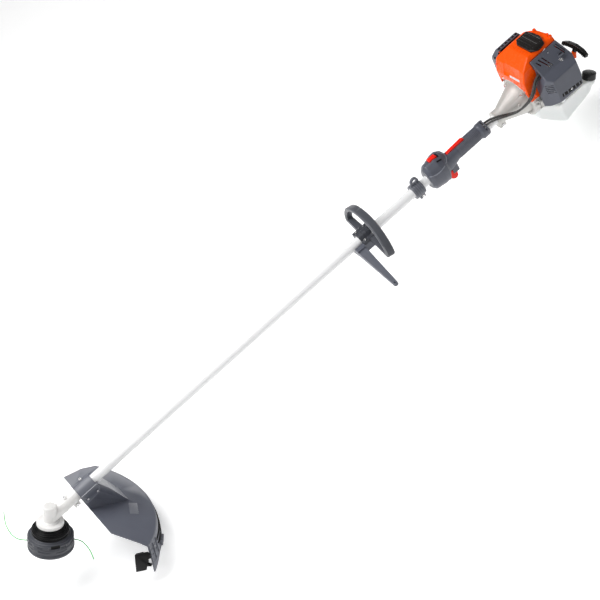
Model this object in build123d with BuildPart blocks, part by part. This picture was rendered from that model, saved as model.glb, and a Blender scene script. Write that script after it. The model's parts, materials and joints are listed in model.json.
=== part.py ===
"""Petrol string trimmer with a straight two-metre shaft, built as the bench-side pieces it comes apart into.

The frame: +X runs along the shaft from the cutting head to the engine, +Z is the engine's spark plug
side, and +Y is the operator's right hand.  The origin is the centre of the harness eye, where the tool
hangs.
"""

import os
from math import cos, pi, radians, sin, tan

from build123d import *

# ---- Fits and walls ------------------------------------------------------------------------------
RUN = 0.05  # radial running clearance of shafts in bearings and bushings
SEAT = 0.03  # radial clearance of clamped and pushed-in pieces
LOOSE = 0.3  # clearance between pieces that move past each other
WALL = 2.5  # moulded covers and shells
EPS = 0.01  # overlap that joins two solids of one casting

# ---- Shaft ---------------------------------------------------------------------------------------
TUBE_R = 13.0
TUBE_WALL = 1.6
TUBE_LENGTH = 1500.0
REAR_REACH = 312.0  # harness eye to the tube's rear end
EYE_RISE = 27.0  # shaft axis to the eye's centre
DRIVE_R = 4.0  # solid drive shaft
BUSHING_COUNT = 5
BUSHING_LENGTH = 24.0

AXIS_Z = -EYE_RISE
TUBE_REAR = REAR_REACH
TUBE_FRONT = TUBE_REAR - TUBE_LENGTH

# ---- Gearbox -------------------------------------------------------------------------------------
HEAD_TILT = 32.0  # how far the spindle leans out of square with the shaft
SPINDLE_REACH = 50.0  # spindle axis to the tube's front end, along the shaft
SLEEVE_R = 16.2
SLEEVE_LENGTH = 88.0  # from the spindle axis
TOWER_R = 17.2
TOWER_TOP = 37.0
FLANGE_LOW = -16.5
FLANGE_THICK = 7.5
FLANGE_R = 34.0
SPINDLE_R = 6.0
PINION_ANGLE = 24.0  # pitch cone half angles
GEAR_ANGLE = 34.0

GEAR_X = TUBE_FRONT - SPINDLE_REACH

# ---- Cutting head (heights are measured along the spindle from the shaft axis) -------------------
HEAD_R = 57.9
HEAD_TOP = -41.0
HEAD_SPLIT = -76.0
HEAD_LOW = -88.5
RING_R = 46.8
KNOB_R = 19.7
KNOB_TRAVEL = 6.0
LINE_D = 2.7
LINE_LEVEL = -67.0

# ---- Guard ---------------------------------------------------------------------------------------
GUARD_FRONT = 85.0  # spindle axis to the guard's front edge, along the shaft
GUARD_SADDLE = 79.0  # length of the saddle on the shaft
GUARD_R = 260.0
SKIRT_R = 273.0
SKIRT_LOW = -66.0
GUARD_EDGE = -15.0
GUARD_T = 3.0

# ---- Hand controls -------------------------------------------------------------------------------
HANGER_FRONT = -18.0
HANGER_LENGTH = 30.0
HANGER_R = 20.0
EYE_R = 6.5
EYE_THICK = 6.0
LOOP_X = -173.0  # middle of the loop's band
LOOP_BAND = 23.0
LOOP_HALF = 111.0
LOOP_TOP = 71.0
LOOP_THICK = 12.0
GRIP_FRONT = 34.0
GRIP_REAR_GAP = 70.0  # from the grip's rear end to the tube's rear end

# ---- Engine --------------------------------------------------------------------------------------
CLUTCH_SINK = 38.0  # how far the tube goes into the clutch housing
CONE_LENGTH = 90.0
CONE_R = 46.0
COLLAR_R = 21.0
DRUM_R = 40.0
CASE_R = 60.0
FLYWHEEL_R = 50.0
BORE_R = 20.0
STROKE = 28.0
CYLINDER_TOP = 114.0
COVER_TOP = 130.0
TANK_TOP = -66.0
TANK_LOW = -112.0
TANK_HALF = 72.0

CLUTCH_X = TUBE_REAR - CLUTCH_SINK
ENGINE_X = CLUTCH_X + CONE_LENGTH
CYLINDER_X = ENGINE_X + 73.0

tilt = radians(HEAD_TILT)
OUT = Vector(cos(tilt), 0, -sin(tilt))  # in the cutting plane, towards the operator
UP = Vector(sin(tilt), 0, cos(tilt))  # up the spindle, away from the ground
GEAR_POINT = Vector(GEAR_X, 0, AXIS_Z)
SHAFT_AXIS = Axis((0, 0, AXIS_Z), (1, 0, 0))
SPINDLE_AXIS = Axis(tuple(GEAR_POINT), tuple(UP))


def shaft(x, y=0.0, z=0.0):
    """Plane square to the shaft at station x: its own x runs to +Y and its own y to +Z."""
    return Plane(origin=(x, y, AXIS_Z + z), x_dir=(0, 1, 0), z_dir=(1, 0, 0))


def side(y=0.0):
    """Upright plane along the shaft at this y, facing -Y: own x runs to +X, own y to +Z from the axis."""
    return Plane(origin=(0, y, AXIS_Z), x_dir=(1, 0, 0), z_dir=(0, -1, 0))


def floor(z):
    """Level plane at height z over the shaft axis, facing +Z."""
    return Plane(origin=(0, 0, AXIS_Z + z), x_dir=(1, 0, 0), z_dir=(0, 0, 1))


def spindle(height=0.0):
    """Plane square to the spindle at this height: own x runs towards the operator, own y to +Y."""
    return Plane(origin=GEAR_POINT + UP * height, x_dir=OUT, z_dir=UP)


SPINDLE_SIDE = Plane(origin=GEAR_POINT, x_dir=OUT, z_dir=(0, -1, 0))  # own x is the radius, own y the height


def disc(plane, radius, length, at=(0, 0), mode=Mode.ADD):
    """A round boss, or a bore, from the plane along its normal."""
    with BuildSketch(plane) as face:
        with Locations(at):
            Circle(radius)
    extrude(face.sketch, amount=length, mode=mode)


def ring(plane, outer, inner, length):
    """A plain sleeve from the plane along its normal."""
    with BuildSketch(plane) as face:
        Circle(outer)
        Circle(inner, mode=Mode.SUBTRACT)
    extrude(face.sketch, amount=length)


def slab(plane, points, length, mode=Mode.ADD):
    """A flat-sided body: the closed outline of these points, drawn out along the plane's normal."""
    with BuildSketch(plane) as face:
        Polygon(*points, align=None)
    extrude(face.sketch, amount=length, mode=mode)


def block(low, high, mode=Mode.ADD):
    """A box between two corners given as station, y and height over the shaft axis."""
    size = [b - a for a, b in zip(low, high)]
    with Locations((low[0], low[1], AXIS_Z + low[2])):
        Box(*size, align=(Align.MIN, Align.MIN, Align.MIN), mode=mode)


def turn(plane, axis, points, arc=360, mode=Mode.ADD):
    """A turned body: the closed outline of these points on the plane, spun about the axis."""
    with BuildSketch(plane) as face:
        Polygon(*points, align=None)
    revolve(face.sketch, axis=axis, revolution_arc=arc, mode=mode)


def turned_on_shaft(start, points, mode=Mode.ADD):
    """A body turned on the shaft axis, from (distance behind the start, radius) points."""
    turn(side(), SHAFT_AXIS, [(start + x, r) for x, r in points], mode=mode)


def turned_on_spindle(points, mode=Mode.ADD):
    """A body turned on the spindle, from (radius, height) points."""
    turn(SPINDLE_SIDE, SPINDLE_AXIS, points, mode=mode)


def save(part, name):
    """Labels a finished piece and writes it."""
    part.label = name
    export_step(part, f"parts/{name}.step")


os.makedirs("parts", exist_ok=True)

# ---- Screws: where each one stands, so that the pieces they hold get the same holes --------------
SCREW_R = 2.5
SCREW_HEAD_R = 3.9
SCREW_HEAD = 3.0


class Screw:
    """A cap screw: its head sits on the plane, and its shank runs back through the pieces behind it."""

    def __init__(self, origin, direction, length):
        self.plane = Plane(origin=origin, z_dir=direction)
        self.length = length

    def body(self):
        disc(self.plane, SCREW_HEAD_R, SCREW_HEAD)
        disc(self.plane, SCREW_R, -self.length)
        disc(self.plane.offset(SCREW_HEAD), 2.0, -1.8, mode=Mode.SUBTRACT)

    def hole(self, head_room=True):
        disc(self.plane.offset(SEAT), SCREW_R + SEAT, -self.length - 2 * SEAT, mode=Mode.SUBTRACT)
        if head_room:
            disc(self.plane, SCREW_HEAD_R + LOOSE, 30, mode=Mode.SUBTRACT)


EAR_Z = -21.5
CLAMP_FRONT = -204.0  # the front of the clamp that holds the loop and the barrier bar
CLAMP_REAR = -157.0
CLAMP_HALF = 28.0

gearbox_ear_screw = Screw((GEAR_X + 70, -8, AXIS_Z + EAR_Z), (0, -1, 0), 15)
gearbox_stop_screw = Screw((GEAR_X + 58, 0, AXIS_Z + 18), (0, 0, 1), 4.8)
collar_screw = Screw((CLUTCH_X + 11, -9, AXIS_Z - 25), (0, -1, 0), 17)
hanger_screw = Screw((1, -8, AXIS_Z - 24), (0, -1, 0), 15)
guard_side_screws = [Screw((GEAR_X + x, -27, AXIS_Z - 12), (0, -1, 0), 10) for x in (99, 129)]
guard_wing_screw = Screw((GEAR_X + 116, 26, AXIS_Z + 3.2), (0, 0, 1), 12)
loop_screws = [Screw((x, y, AXIS_Z + 8), (0, 0, 1), 29) for x in (-196, -170) for y in (-21.5, 21.5)]
grip_screws = [
    Screw((50, 15, AXIS_Z - 26), (0, 1, 0), 26),
    Screw((50, 15, AXIS_Z + 27), (0, 1, 0), 26),
    Screw((86, 15, AXIS_Z + 24), (0, 1, 0), 26),
]
flange_screws = [
    Screw((ENGINE_X - 10, 46 * cos(radians(a)), AXIS_Z + 46 * sin(radians(a))), (-1, 0, 0), 18)
    for a in (45, 135, 225, 315)
]

# ==== Shaft =======================================================================================

with BuildPart() as shaft_tube:
    ring(shaft(TUBE_FRONT), TUBE_R, TUBE_R - TUBE_WALL, TUBE_LENGTH)
save(shaft_tube.part, "shaft_tube")

DRIVE_FRONT = GEAR_X + 22.0
DRIVE_REAR = CLUTCH_X + 62.0
with BuildPart() as drive_shaft:
    disc(shaft(DRIVE_FRONT), DRIVE_R, DRIVE_REAR - DRIVE_FRONT)
save(drive_shaft.part, "drive_shaft")

with BuildPart() as shaft_bushings:
    pitch = TUBE_LENGTH / BUSHING_COUNT
    for index in range(BUSHING_COUNT):
        start = TUBE_FRONT + pitch * (index + 0.5) - BUSHING_LENGTH / 2
        ring(shaft(start), TUBE_R - TUBE_WALL - SEAT, DRIVE_R + RUN, BUSHING_LENGTH)
save(shaft_bushings.part, "shaft_bushings")

# ==== Gearbox =====================================================================================

PINION_BEARING = 34.0  # station of the pinion bearing behind the spindle axis
PINION_BEARING_R = 11.0
BEARING_LENGTH = 9.0
TOP_BEARING = 20.5
TOP_BEARING_R = 11.0
LOW_BEARING = FLANGE_LOW + 1.0
LOW_BEARING_R = 14.0

with BuildPart() as gearbox_housing:
    disc(spindle(FLANGE_LOW + 1), TOWER_R, TOWER_TOP - FLANGE_LOW - 1)
    fillet(gearbox_housing.edges().group_by(SortBy.AREA)[-1].sort_by(SPINDLE_AXIS)[-1], 4.0)
    disc(shaft(GEAR_X), SLEEVE_R, SLEEVE_LENGTH)
    turned_on_shaft(GEAR_X, [(40, 0), (40, SLEEVE_R + 0.8), (44, SLEEVE_R + 0.8), (44, 0)])
    disc(spindle(FLANGE_LOW), FLANGE_R, FLANGE_THICK)
    turned_on_spindle([(0, FLANGE_LOW + FLANGE_THICK - 1), (24, FLANGE_LOW + FLANGE_THICK - 1),
        (20, -5.5), (0, -5.5)])
    # Clamp ears under the sleeve, and the boss of the stop screw on top of it.
    block((GEAR_X + 62, -8, EAR_Z - 5), (GEAR_X + 79, 8, -SLEEVE_R + 2))
    disc(floor(12), 5.5, 6, at=(GEAR_X + 58, 0))
    # The gear space, the bearing seats and the bores.
    turned_on_spindle(
        [(0, FLANGE_LOW - 1), (LOW_BEARING_R + SEAT, FLANGE_LOW - 1), (LOW_BEARING_R + SEAT,
        LOW_BEARING + BEARING_LENGTH),
         (13.6, LOW_BEARING + BEARING_LENGTH), (13.6, TOP_BEARING), (TOP_BEARING_R + SEAT, TOP_BEARING),
         (TOP_BEARING_R + SEAT, TOP_BEARING + BEARING_LENGTH), (0, TOP_BEARING + BEARING_LENGTH)],
        mode=Mode.SUBTRACT,
    )
    turned_on_shaft(
        GEAR_X,
        [(0, 0), (0, PINION_BEARING_R - 1.5), (PINION_BEARING, PINION_BEARING_R - 1.5),
         (PINION_BEARING, PINION_BEARING_R + SEAT), (SPINDLE_REACH - 1, PINION_BEARING_R + SEAT),
         (SPINDLE_REACH - 1, TUBE_R + SEAT), (SLEEVE_LENGTH + 1, TUBE_R + SEAT), (SLEEVE_LENGTH + 1, 0)],
        mode=Mode.SUBTRACT,
    )
    block((GEAR_X + 62, -1, EAR_Z - 7), (GEAR_X + 89, 1, -TUBE_R + 1), mode=Mode.SUBTRACT)
    gearbox_ear_screw.hole(head_room=False)
    gearbox_stop_screw.hole(head_room=False)
save(gearbox_housing.part, "gearbox_housing")

# Bevel pair, drawn as plain pitch cones that just clear each other, and meet where the axes cross.
CONE_NEAR = 12.0
CONE_FAR = 22.0
CONE_SLACK = radians(0.5)
pinion_cone = radians(PINION_ANGLE) - CONE_SLACK
gear_cone = radians(GEAR_ANGLE) - CONE_SLACK

with BuildPart() as pinion_gear:
    turned_on_shaft(
        GEAR_X,
        [(CONE_NEAR * cos(pinion_cone), 0), (CONE_NEAR * cos(pinion_cone), CONE_NEAR * sin(pinion_cone)),
         (CONE_FAR * cos(pinion_cone), CONE_FAR * sin(pinion_cone)), (CONE_FAR * cos(pinion_cone) + 3, 7.5),
         (PINION_BEARING - 1, 6.5), (PINION_BEARING - 1, 5), (PINION_BEARING + BEARING_LENGTH, 5),
         (PINION_BEARING + BEARING_LENGTH, 0)],
    )
    disc(shaft(DRIVE_FRONT), DRIVE_R + SEAT, 40, mode=Mode.SUBTRACT)
save(pinion_gear.part, "pinion_gear")

with BuildPart() as output_gear:
    turned_on_spindle(
        [(SPINDLE_R + SEAT, CONE_NEAR * cos(gear_cone)), (CONE_NEAR * sin(gear_cone),
        CONE_NEAR * cos(gear_cone)),
         (CONE_FAR * sin(gear_cone), CONE_FAR * cos(gear_cone)), (10, TOP_BEARING - 0.5),
         (SPINDLE_R + SEAT, TOP_BEARING - 0.5)],
    )
save(output_gear.part, "output_gear")

SPINDLE_LOW = HEAD_TOP - 18.0
with BuildPart() as output_spindle:
    turned_on_spindle(
        [(0, TOP_BEARING + BEARING_LENGTH - 0.5), (5, TOP_BEARING + BEARING_LENGTH - 0.5), (5, TOP_BEARING),
         (SPINDLE_R, TOP_BEARING - 1), (SPINDLE_R, 9), (4.4, 8), (4.4, -5), (7, -6), (7, FLANGE_LOW + 0.5),
         (12, FLANGE_LOW - 0.5), (12, FLANGE_LOW - 2), (5, FLANGE_LOW - 2), (5, SPINDLE_LOW),
         (0, SPINDLE_LOW)],
    )
save(output_spindle.part, "output_spindle")

with BuildPart() as ball_bearings:
    ring(spindle(TOP_BEARING), TOP_BEARING_R, 5 + RUN, BEARING_LENGTH - 1)
    ring(spindle(LOW_BEARING), LOW_BEARING_R, 7 + RUN, BEARING_LENGTH - 1)
    ring(shaft(GEAR_X + PINION_BEARING), PINION_BEARING_R, 5 + RUN, BEARING_LENGTH)
    ring(shaft(CLUTCH_X + 44.2), 17.5, 7.5 + RUN, 12)
save(ball_bearings.part, "ball_bearings")

# ==== Cutting head ================================================================================

with BuildPart() as dust_ring:
    turned_on_spindle(
        [(5 + SEAT, -19), (36, -18), (37, -23), (42, -24), (43, -29), (RING_R - 1, -30), (RING_R, -32),
         (RING_R, HEAD_TOP + 0.4), (RING_R - 2.5, HEAD_TOP + 0.4), (RING_R - 2.5, -33), (40, -32), (38, -27),
         (14, -25), (14, HEAD_TOP + 0.02), (5 + SEAT, HEAD_TOP + 0.02)],
    )
save(dust_ring.part, "dust_ring")

HUB_R = 9.5
EYELET_R = 4.0
eyelet_planes = [
    Plane(origin=GEAR_POINT + UP * LINE_LEVEL, x_dir=tuple(UP),
    z_dir=tuple(OUT * cos(radians(a)) + Vector(0, sin(radians(a)), 0)))
    for a in (-28, 152)
]
with BuildPart() as head_housing:
    turned_on_spindle(
        [(5 + SEAT, HEAD_TOP), (47, HEAD_TOP), (HEAD_R - 1, -47), (HEAD_R, -50), (HEAD_R, -64),
        (HEAD_R - 1.5, -65),
         (HEAD_R - 1.5, HEAD_SPLIT), (HEAD_R - 4, HEAD_SPLIT), (HEAD_R - 4, -50), (46, -44), (HUB_R, -44),
         (HUB_R, SPINDLE_LOW), (5 + SEAT, SPINDLE_LOW)],
    )
    # The latch windows, one on each side between the eyelets.
    for a in (62, 242):
        outward = OUT * cos(radians(a)) + Vector(0, sin(radians(a)), 0)
        window = Plane(origin=GEAR_POINT + UP * -70.0 + outward * (HEAD_R - 6), x_dir=tuple(UP),
            z_dir=tuple(outward))
        slab(window, [(-8, -8), (7, -8), (7, 8), (-8, 8)], 12, mode=Mode.SUBTRACT)
    for plane in eyelet_planes:
        disc(plane.offset(HEAD_R - 8), EYELET_R + SEAT, 12, mode=Mode.SUBTRACT)
save(head_housing.part, "head_housing")

with BuildPart() as line_eyelets:
    for plane in eyelet_planes:
        ring(plane.offset(HEAD_R - 4.2), EYELET_R, LINE_D / 2 + 0.15, 4.6)
save(line_eyelets.part, "line_eyelets")

SPOOL_TOP = -51.0
SPOOL_LOW = -72.0
with BuildPart() as line_spool:
    turned_on_spindle(
        [(HUB_R + LOOSE, SPOOL_TOP), (50, SPOOL_TOP), (50, SPOOL_TOP - 1.5), (22, SPOOL_TOP - 1.5),
        (22, SPOOL_LOW + 1.5),
         (50, SPOOL_LOW + 1.5), (50, SPOOL_LOW), (18, SPOOL_LOW), (18, SPINDLE_LOW - 1), (HUB_R + LOOSE,
         SPINDLE_LOW - 1)],
    )
save(line_spool.part, "line_spool")

with BuildPart() as head_spring:
    ring(spindle(SPOOL_TOP + 0.3), 16.5, 13.0, HEAD_TOP - 3 - SPOOL_TOP - 0.6)
save(head_spring.part, "head_spring")

with BuildPart() as head_cover:
    turned_on_spindle(
        [(KNOB_R + LOOSE, HEAD_LOW), (50, HEAD_LOW), (HEAD_R - 0.5, -84), (HEAD_R, -82),
        (HEAD_R, HEAD_SPLIT - 0.02),
         (HEAD_R - 4.5, HEAD_SPLIT - 0.02), (HEAD_R - 4.5, -82), (50, -85.5), (KNOB_R + LOOSE, -85.5)],
    )
save(head_cover.part, "head_cover")

KNOB_LOW = HEAD_LOW - KNOB_TRAVEL - 3.5
with BuildPart() as bump_knob:
    turned_on_spindle(
        [(0, KNOB_LOW), (14, KNOB_LOW), (KNOB_R, KNOB_LOW + 4), (KNOB_R, -85.2), (24, -85.2), (24, -82.5),
        (0, -82.5)],
    )
    turned_on_spindle([(0, -86), (14, -86), (14, -82), (0, -82)], mode=Mode.SUBTRACT)
save(bump_knob.part, "bump_knob")


def in_cutting_plane(x, y):
    """A point of the cutting plane, from the distances towards the operator and to +Y."""
    return GEAR_POINT + UP * LINE_LEVEL + OUT * x + Vector(0, y, 0)


def tube_along(name, points, radius):
    """A cord's tube: straight runs joined by arcs as large as the shorter of their two runs allows."""
    radii = []
    for before, here, after in zip(points, points[1:], points[2:]):
        first = Vector(*here) - Vector(*before)
        second = Vector(*after) - Vector(*here)
        turn_angle = radians(first.get_angle(second))
        radii.append(0.45 * min(first.length, second.length) / tan(turn_angle / 2))
    print(name, "arc radii", [round(r, 1) for r in radii])
    with BuildPart() as cord:
        with BuildLine() as path:
            FilletPolyline(*points, radius=radii)
        with BuildSketch(Plane(origin=path.line @ 0, z_dir=path.line % 0)):
            Circle(radius)
        sweep()
    length = sum(edge.length for edge in path.edges())
    print(name, "length", round(length, 1), "volume", round(cord.part.volume), "of",
        round(pi * radius**2 * length))
    save(cord.part, name)


def past_eyelet(angle, reach):
    """A point of the cutting plane straight out of the eyelet that stands at this angle."""
    return tuple(in_cutting_plane(reach * cos(radians(angle)), reach * sin(radians(angle))))


# The two nylon ends leave their eyelets and trail behind the turn, in the cutting plane.
long_end = [tuple(in_cutting_plane(*p)) for p in ((-75, 60), (-74, 92), (-67, 125), (-53, 160))]
short_end = [tuple(in_cutting_plane(*p)) for p in ((66, -64), (64, -92), (57, -120))]
tube_along("line_end_long", [past_eyelet(152, 54), past_eyelet(152, 76), *long_end], LINE_D / 2)
tube_along("line_end_short", [past_eyelet(-28, 54), past_eyelet(-28, 71), *short_end], LINE_D / 2)

# ==== Guard =======================================================================================

GUARD_START = -51.0  # the end that carries the cutter, on the operator's left
GUARD_SWEEP = 88.0
HOOK_LOW = -86.0
HOOK_SWEEP = 12.0


def round_spindle(angle):
    """The direction out from the spindle at this angle, and the direction along the turn there."""
    out = OUT * cos(radians(angle)) + Vector(0, sin(radians(angle)), 0)
    along = OUT * -sin(radians(angle)) + Vector(0, cos(radians(angle)), 0)
    return out, along


end_out, end_along = round_spindle(GUARD_START)
GUARD_END = Plane(origin=GEAR_POINT, x_dir=tuple(end_out),
    z_dir=tuple(end_along * -1))  # own x radius, own y height
hook_out, hook_along = round_spindle(GUARD_START + HOOK_SWEEP / 2)
HOOK_FACE = Plane(origin=GEAR_POINT + hook_out * (SKIRT_R - 23), x_dir=tuple(hook_along),
    z_dir=tuple(hook_out))

with BuildPart() as guard_shell:
    turn(
        GUARD_END,
        SPINDLE_AXIS,
        [(60, 12), (164, 0), (236, -8.5), (GUARD_R - 3, -11.5), (GUARD_R, GUARD_EDGE), (SKIRT_R, SKIRT_LOW),
         (SKIRT_R - GUARD_T, SKIRT_LOW), (GUARD_R - 3.5, GUARD_EDGE - 1), (236, -11.5), (164, -3), (60, 9)],
        arc=GUARD_SWEEP,
    )
    turn(
        GUARD_END,
        SPINDLE_AXIS,
        [(SKIRT_R - 3.2, SKIRT_LOW + 1), (SKIRT_R - 0.2, SKIRT_LOW + 1), (SKIRT_R + 4, HOOK_LOW),
        (SKIRT_R + 1, HOOK_LOW)],
        arc=HOOK_SWEEP,
    )
    slab(HOOK_FACE, [(-26, HOOK_LOW - 1), (40, HOOK_LOW - 1), (40, SKIRT_LOW), (29, SKIRT_LOW)], 40,
        mode=Mode.SUBTRACT)
    # The pedestal that carries the saddle, and the flat front edge.
    slab(SPINDLE_SIDE.offset(-36), [(74, 46), (121, 75), (150, 52), (205, -5), (98, 5)], 60)
    block((GEAR_X - 60, -300, -400), (GEAR_X + GUARD_FRONT, 300, 200), mode=Mode.SUBTRACT)
    block((GEAR_X + 80, -60, 0), (GEAR_X + 300, 60, 60), mode=Mode.SUBTRACT)
    disc(shaft(GEAR_X + 60), TUBE_R + SEAT, 140, mode=Mode.SUBTRACT)
    disc(shaft(GEAR_X + 60), SLEEVE_R + LOOSE, SLEEVE_LENGTH - 60 + LOOSE, mode=Mode.SUBTRACT)
    for screw in (*guard_side_screws, guard_wing_screw):
        screw.hole(head_room=False)
save(guard_shell.part, "guard_shell")

with BuildPart() as guard_bracket:
    slab(shaft(GEAR_X + 88), [(-24, 0.2), (30, 0.2), (30, 3.2), (21, 3.2), (14, 12), (7, 17.5),
        (-7, 17.5), (-18, 12), (-24, 5)], 50)
    slab(floor(0.2), [(GEAR_X + x, y) for x, y in ((88, 15), (88, 74), (134, 55), (167, 27), (167, 15.5),
        (138, 14))], 3)
    slab(side(-24.05), [(GEAR_X + x, z) for x, z in ((88, 5), (138, 3), (140, -8), (133, -22), (92, -24),
        (88, -20))], 2.9)
    block((GEAR_X + 88, -26.9, 0.2), (GEAR_X + 138, -22, 4.9))
    disc(shaft(GEAR_X + 60), TUBE_R + SEAT, 140, mode=Mode.SUBTRACT)
    for screw in (*guard_side_screws, guard_wing_screw):
        screw.hole(head_room=False)
save(guard_bracket.part, "guard_bracket")

BLADE_T = 1.5
BLADE_GAP = 0.05
with BuildPart() as line_cutter:
    blade = [
        (SKIRT_R - inside, height)
        for inside, height in (
            (33, -52), (21, -33), (12, -31), (7, -46), (2, -66), (15, -72), (21, -88), (37, -88),
        )
    ]
    slab(GUARD_END.offset(BLADE_GAP), blade, BLADE_T)
save(line_cutter.part, "line_cutter")

with BuildPart() as cutter_sheath:
    sheath = [
        (SKIRT_R - inside, height)
        for inside, height in (
            (48, -47), (15, -28), (7, -33), (6, -45), (13, -49), (13, -63), (4, -64), (4, -69), (15, -72),
            (17, -84),
            (44, -98),
        )
    ]
    slab(GUARD_END.offset(-3), sheath, 8)
    slot = [(SKIRT_R - 42, -10), (SKIRT_R + 7, -10), (SKIRT_R + 7, -90), (SKIRT_R - 42, -90)]
    slab(GUARD_END.offset(BLADE_GAP - 0.1), slot, BLADE_T + 0.2, mode=Mode.SUBTRACT)
    skirt_room = [(SKIRT_R - 27, -20), (SKIRT_R + 7, -20), (SKIRT_R + 7, -100), (SKIRT_R - 27, -100)]
    slab(GUARD_END.offset(-3.1), skirt_room, 3.15, mode=Mode.SUBTRACT)
save(cutter_sheath.part, "cutter_sheath")

# ==== Loop handle and barrier bar =================================================================

LOOP_FLOOR = -9.0  # the underside of the loop where the clamp holds it
LOOP_SHIFT = -3.0  # the hoop reaches a little further to the left
LOOP_BAR = 11.0  # depth of the bars that close the hoop at the bottom
LOOP_TAPER = 6.0  # the band narrows by this much towards the right
BAND_FRONT = LOOP_X - LOOP_BAND / 2 + 0.5
BAND_REAR = BAND_FRONT + LOOP_BAND

LOOP_TILT = 5.0  # degrees that the loop leans over to the right, seen from behind
LOOP_LEAN = radians(9.5)  # and back towards the operator
loop_plane = Plane(
    origin=(BAND_FRONT, 0, AXIS_Z), x_dir=(0, 1, 0), z_dir=(cos(LOOP_LEAN), 0, -sin(LOOP_LEAN))
).rotated((0, 0, -LOOP_TILT))
loop_floor = Plane(origin=loop_plane.origin, x_dir=loop_plane.z_dir, z_dir=loop_plane.y_dir)

with BuildPart() as loop_handle:
    with BuildSketch(loop_plane) as hoop:
        with Locations((LOOP_SHIFT, LOOP_FLOOR)):
            Ellipse(LOOP_HALF, LOOP_TOP - LOOP_FLOOR)
        Polygon(
            (-150, -200), (-150, -11), (-29, -2), (-29, LOOP_FLOOR), (29, LOOP_FLOOR), (29, -21),
            (150, -15), (150, -200),
            align=None, mode=Mode.SUBTRACT,
        )
        fillet(hoop.vertices().filter_by(lambda corner: abs(corner.X) > 90), 8)
        with BuildSketch(mode=Mode.SUBTRACT):
            with Locations((LOOP_SHIFT, LOOP_FLOOR)):
                Ellipse(LOOP_HALF - LOOP_THICK, LOOP_TOP - LOOP_FLOOR - LOOP_THICK)
            Polygon(
                (-150, -200), (-150, LOOP_BAR - 11), (-29, LOOP_BAR - 2), (31, LOOP_BAR - 2),
                (44, LOOP_BAR - 20),
                (150, LOOP_BAR - 15), (150, -200),
                align=None, mode=Mode.SUBTRACT,
            )
    extrude(hoop.sketch, amount=LOOP_BAND)
    chamfer(loop_handle.edges().filter_by(GeomType.ELLIPSE), 3)
    slab(
        loop_floor.offset(-80),
        [(LOOP_BAND - LOOP_TAPER, 116), (LOOP_BAND + 1, 116), (LOOP_BAND + 1, -20), (LOOP_BAND, -20)],
        200,
        mode=Mode.SUBTRACT,
    )
    # Square where the clamp holds it.
    block((BAND_FRONT - 8, -CLAMP_HALF - 1, -30), (BAND_REAR + 8, CLAMP_HALF + 1, 20), mode=Mode.SUBTRACT)
    block((BAND_FRONT, -CLAMP_HALF - 1, LOOP_FLOOR), (BAND_REAR, CLAMP_HALF + 1, -0.2))
    disc(shaft(BAND_FRONT - 1), TUBE_R + SEAT, LOOP_BAND + 2, mode=Mode.SUBTRACT)
    for screw in loop_screws:
        screw.hole(head_room=False)
save(loop_handle.part, "loop_handle")

with BuildPart() as loop_clamp_top:
    block((CLAMP_FRONT, -CLAMP_HALF, 0.2), (CLAMP_REAR, CLAMP_HALF, 8))
    disc(shaft(CLAMP_FRONT), 18, CLAMP_REAR - CLAMP_FRONT)
    block((CLAMP_FRONT - 1, -40, -40), (CLAMP_REAR + 1, 40, 0.2), mode=Mode.SUBTRACT)
    disc(shaft(CLAMP_FRONT - 1), TUBE_R + SEAT, CLAMP_REAR - CLAMP_FRONT + 2, mode=Mode.SUBTRACT)
    for screw in loop_screws:
        screw.hole(head_room=False)
save(loop_clamp_top.part, "loop_clamp_top")

BAR_TIP_Y = -157.0
BAR_FRONT = -231.0
BAR_LOW = -22.0
BAR_TIP_R = 6.5
with BuildPart() as barrier_bar:
    block((CLAMP_FRONT, -CLAMP_HALF, BAR_LOW), (CLAMP_REAR, CLAMP_HALF, LOOP_FLOOR - SEAT))
    block((CLAMP_FRONT, -CLAMP_HALF, BAR_LOW), (BAND_FRONT - 0.5, CLAMP_HALF, -0.2))
    block((BAR_FRONT, -CLAMP_HALF, BAR_LOW), (CLAMP_FRONT + EPS, 10, -0.2))
    with BuildSketch(side(-CLAMP_HALF + 1)) as bar_root:
        with Locations((BAR_FRONT + 13, -13)):
            Rectangle(26, 16)
    with BuildSketch(side(BAR_TIP_Y + BAR_TIP_R)) as bar_tip:
        with Locations((BAR_FRONT + 8, -50)):
            Rectangle(2 * BAR_TIP_R, 8)
    loft([bar_root.sketch, bar_tip.sketch])
    disc(floor(-54), BAR_TIP_R, 8, at=(BAR_FRONT + 8, BAR_TIP_Y + BAR_TIP_R))
    disc(floor(-80), 2.2, 60, at=(BAR_FRONT + 8, BAR_TIP_Y + 7), mode=Mode.SUBTRACT)
    disc(shaft(BAR_FRONT - 1), TUBE_R + SEAT, 90, mode=Mode.SUBTRACT)
    for screw in loop_screws:
        screw.hole(head_room=False)
save(barrier_bar.part, "barrier_bar")

# ==== Hanger ======================================================================================

with BuildPart() as hanger_ring:
    ring(shaft(HANGER_FRONT), HANGER_R, TUBE_R + SEAT, HANGER_LENGTH)
    with BuildSketch(side(EYE_THICK / 2)) as fin:
        with Locations((0, EYE_RISE)):
            Circle(12)
        Polygon((-16, 15), (-11, 31), (11, 31), (11, 15), align=None)
    extrude(fin.sketch, amount=EYE_THICK)
    block((-7, -8, -30), (9, 8, -TUBE_R - 3))
    block((-20, -1, -33), (14, 1, -TUBE_R + 1), mode=Mode.SUBTRACT)
    disc(shaft(-20), TUBE_R + SEAT, 40, mode=Mode.SUBTRACT)
    disc(side(20), EYE_R, 40, at=(0, EYE_RISE), mode=Mode.SUBTRACT)
    hanger_screw.hole(head_room=False)
save(hanger_ring.part, "hanger_ring")

# ==== Throttle grip ===============================================================================

GRIP_REAR = TUBE_REAR - GRIP_REAR_GAP
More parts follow.
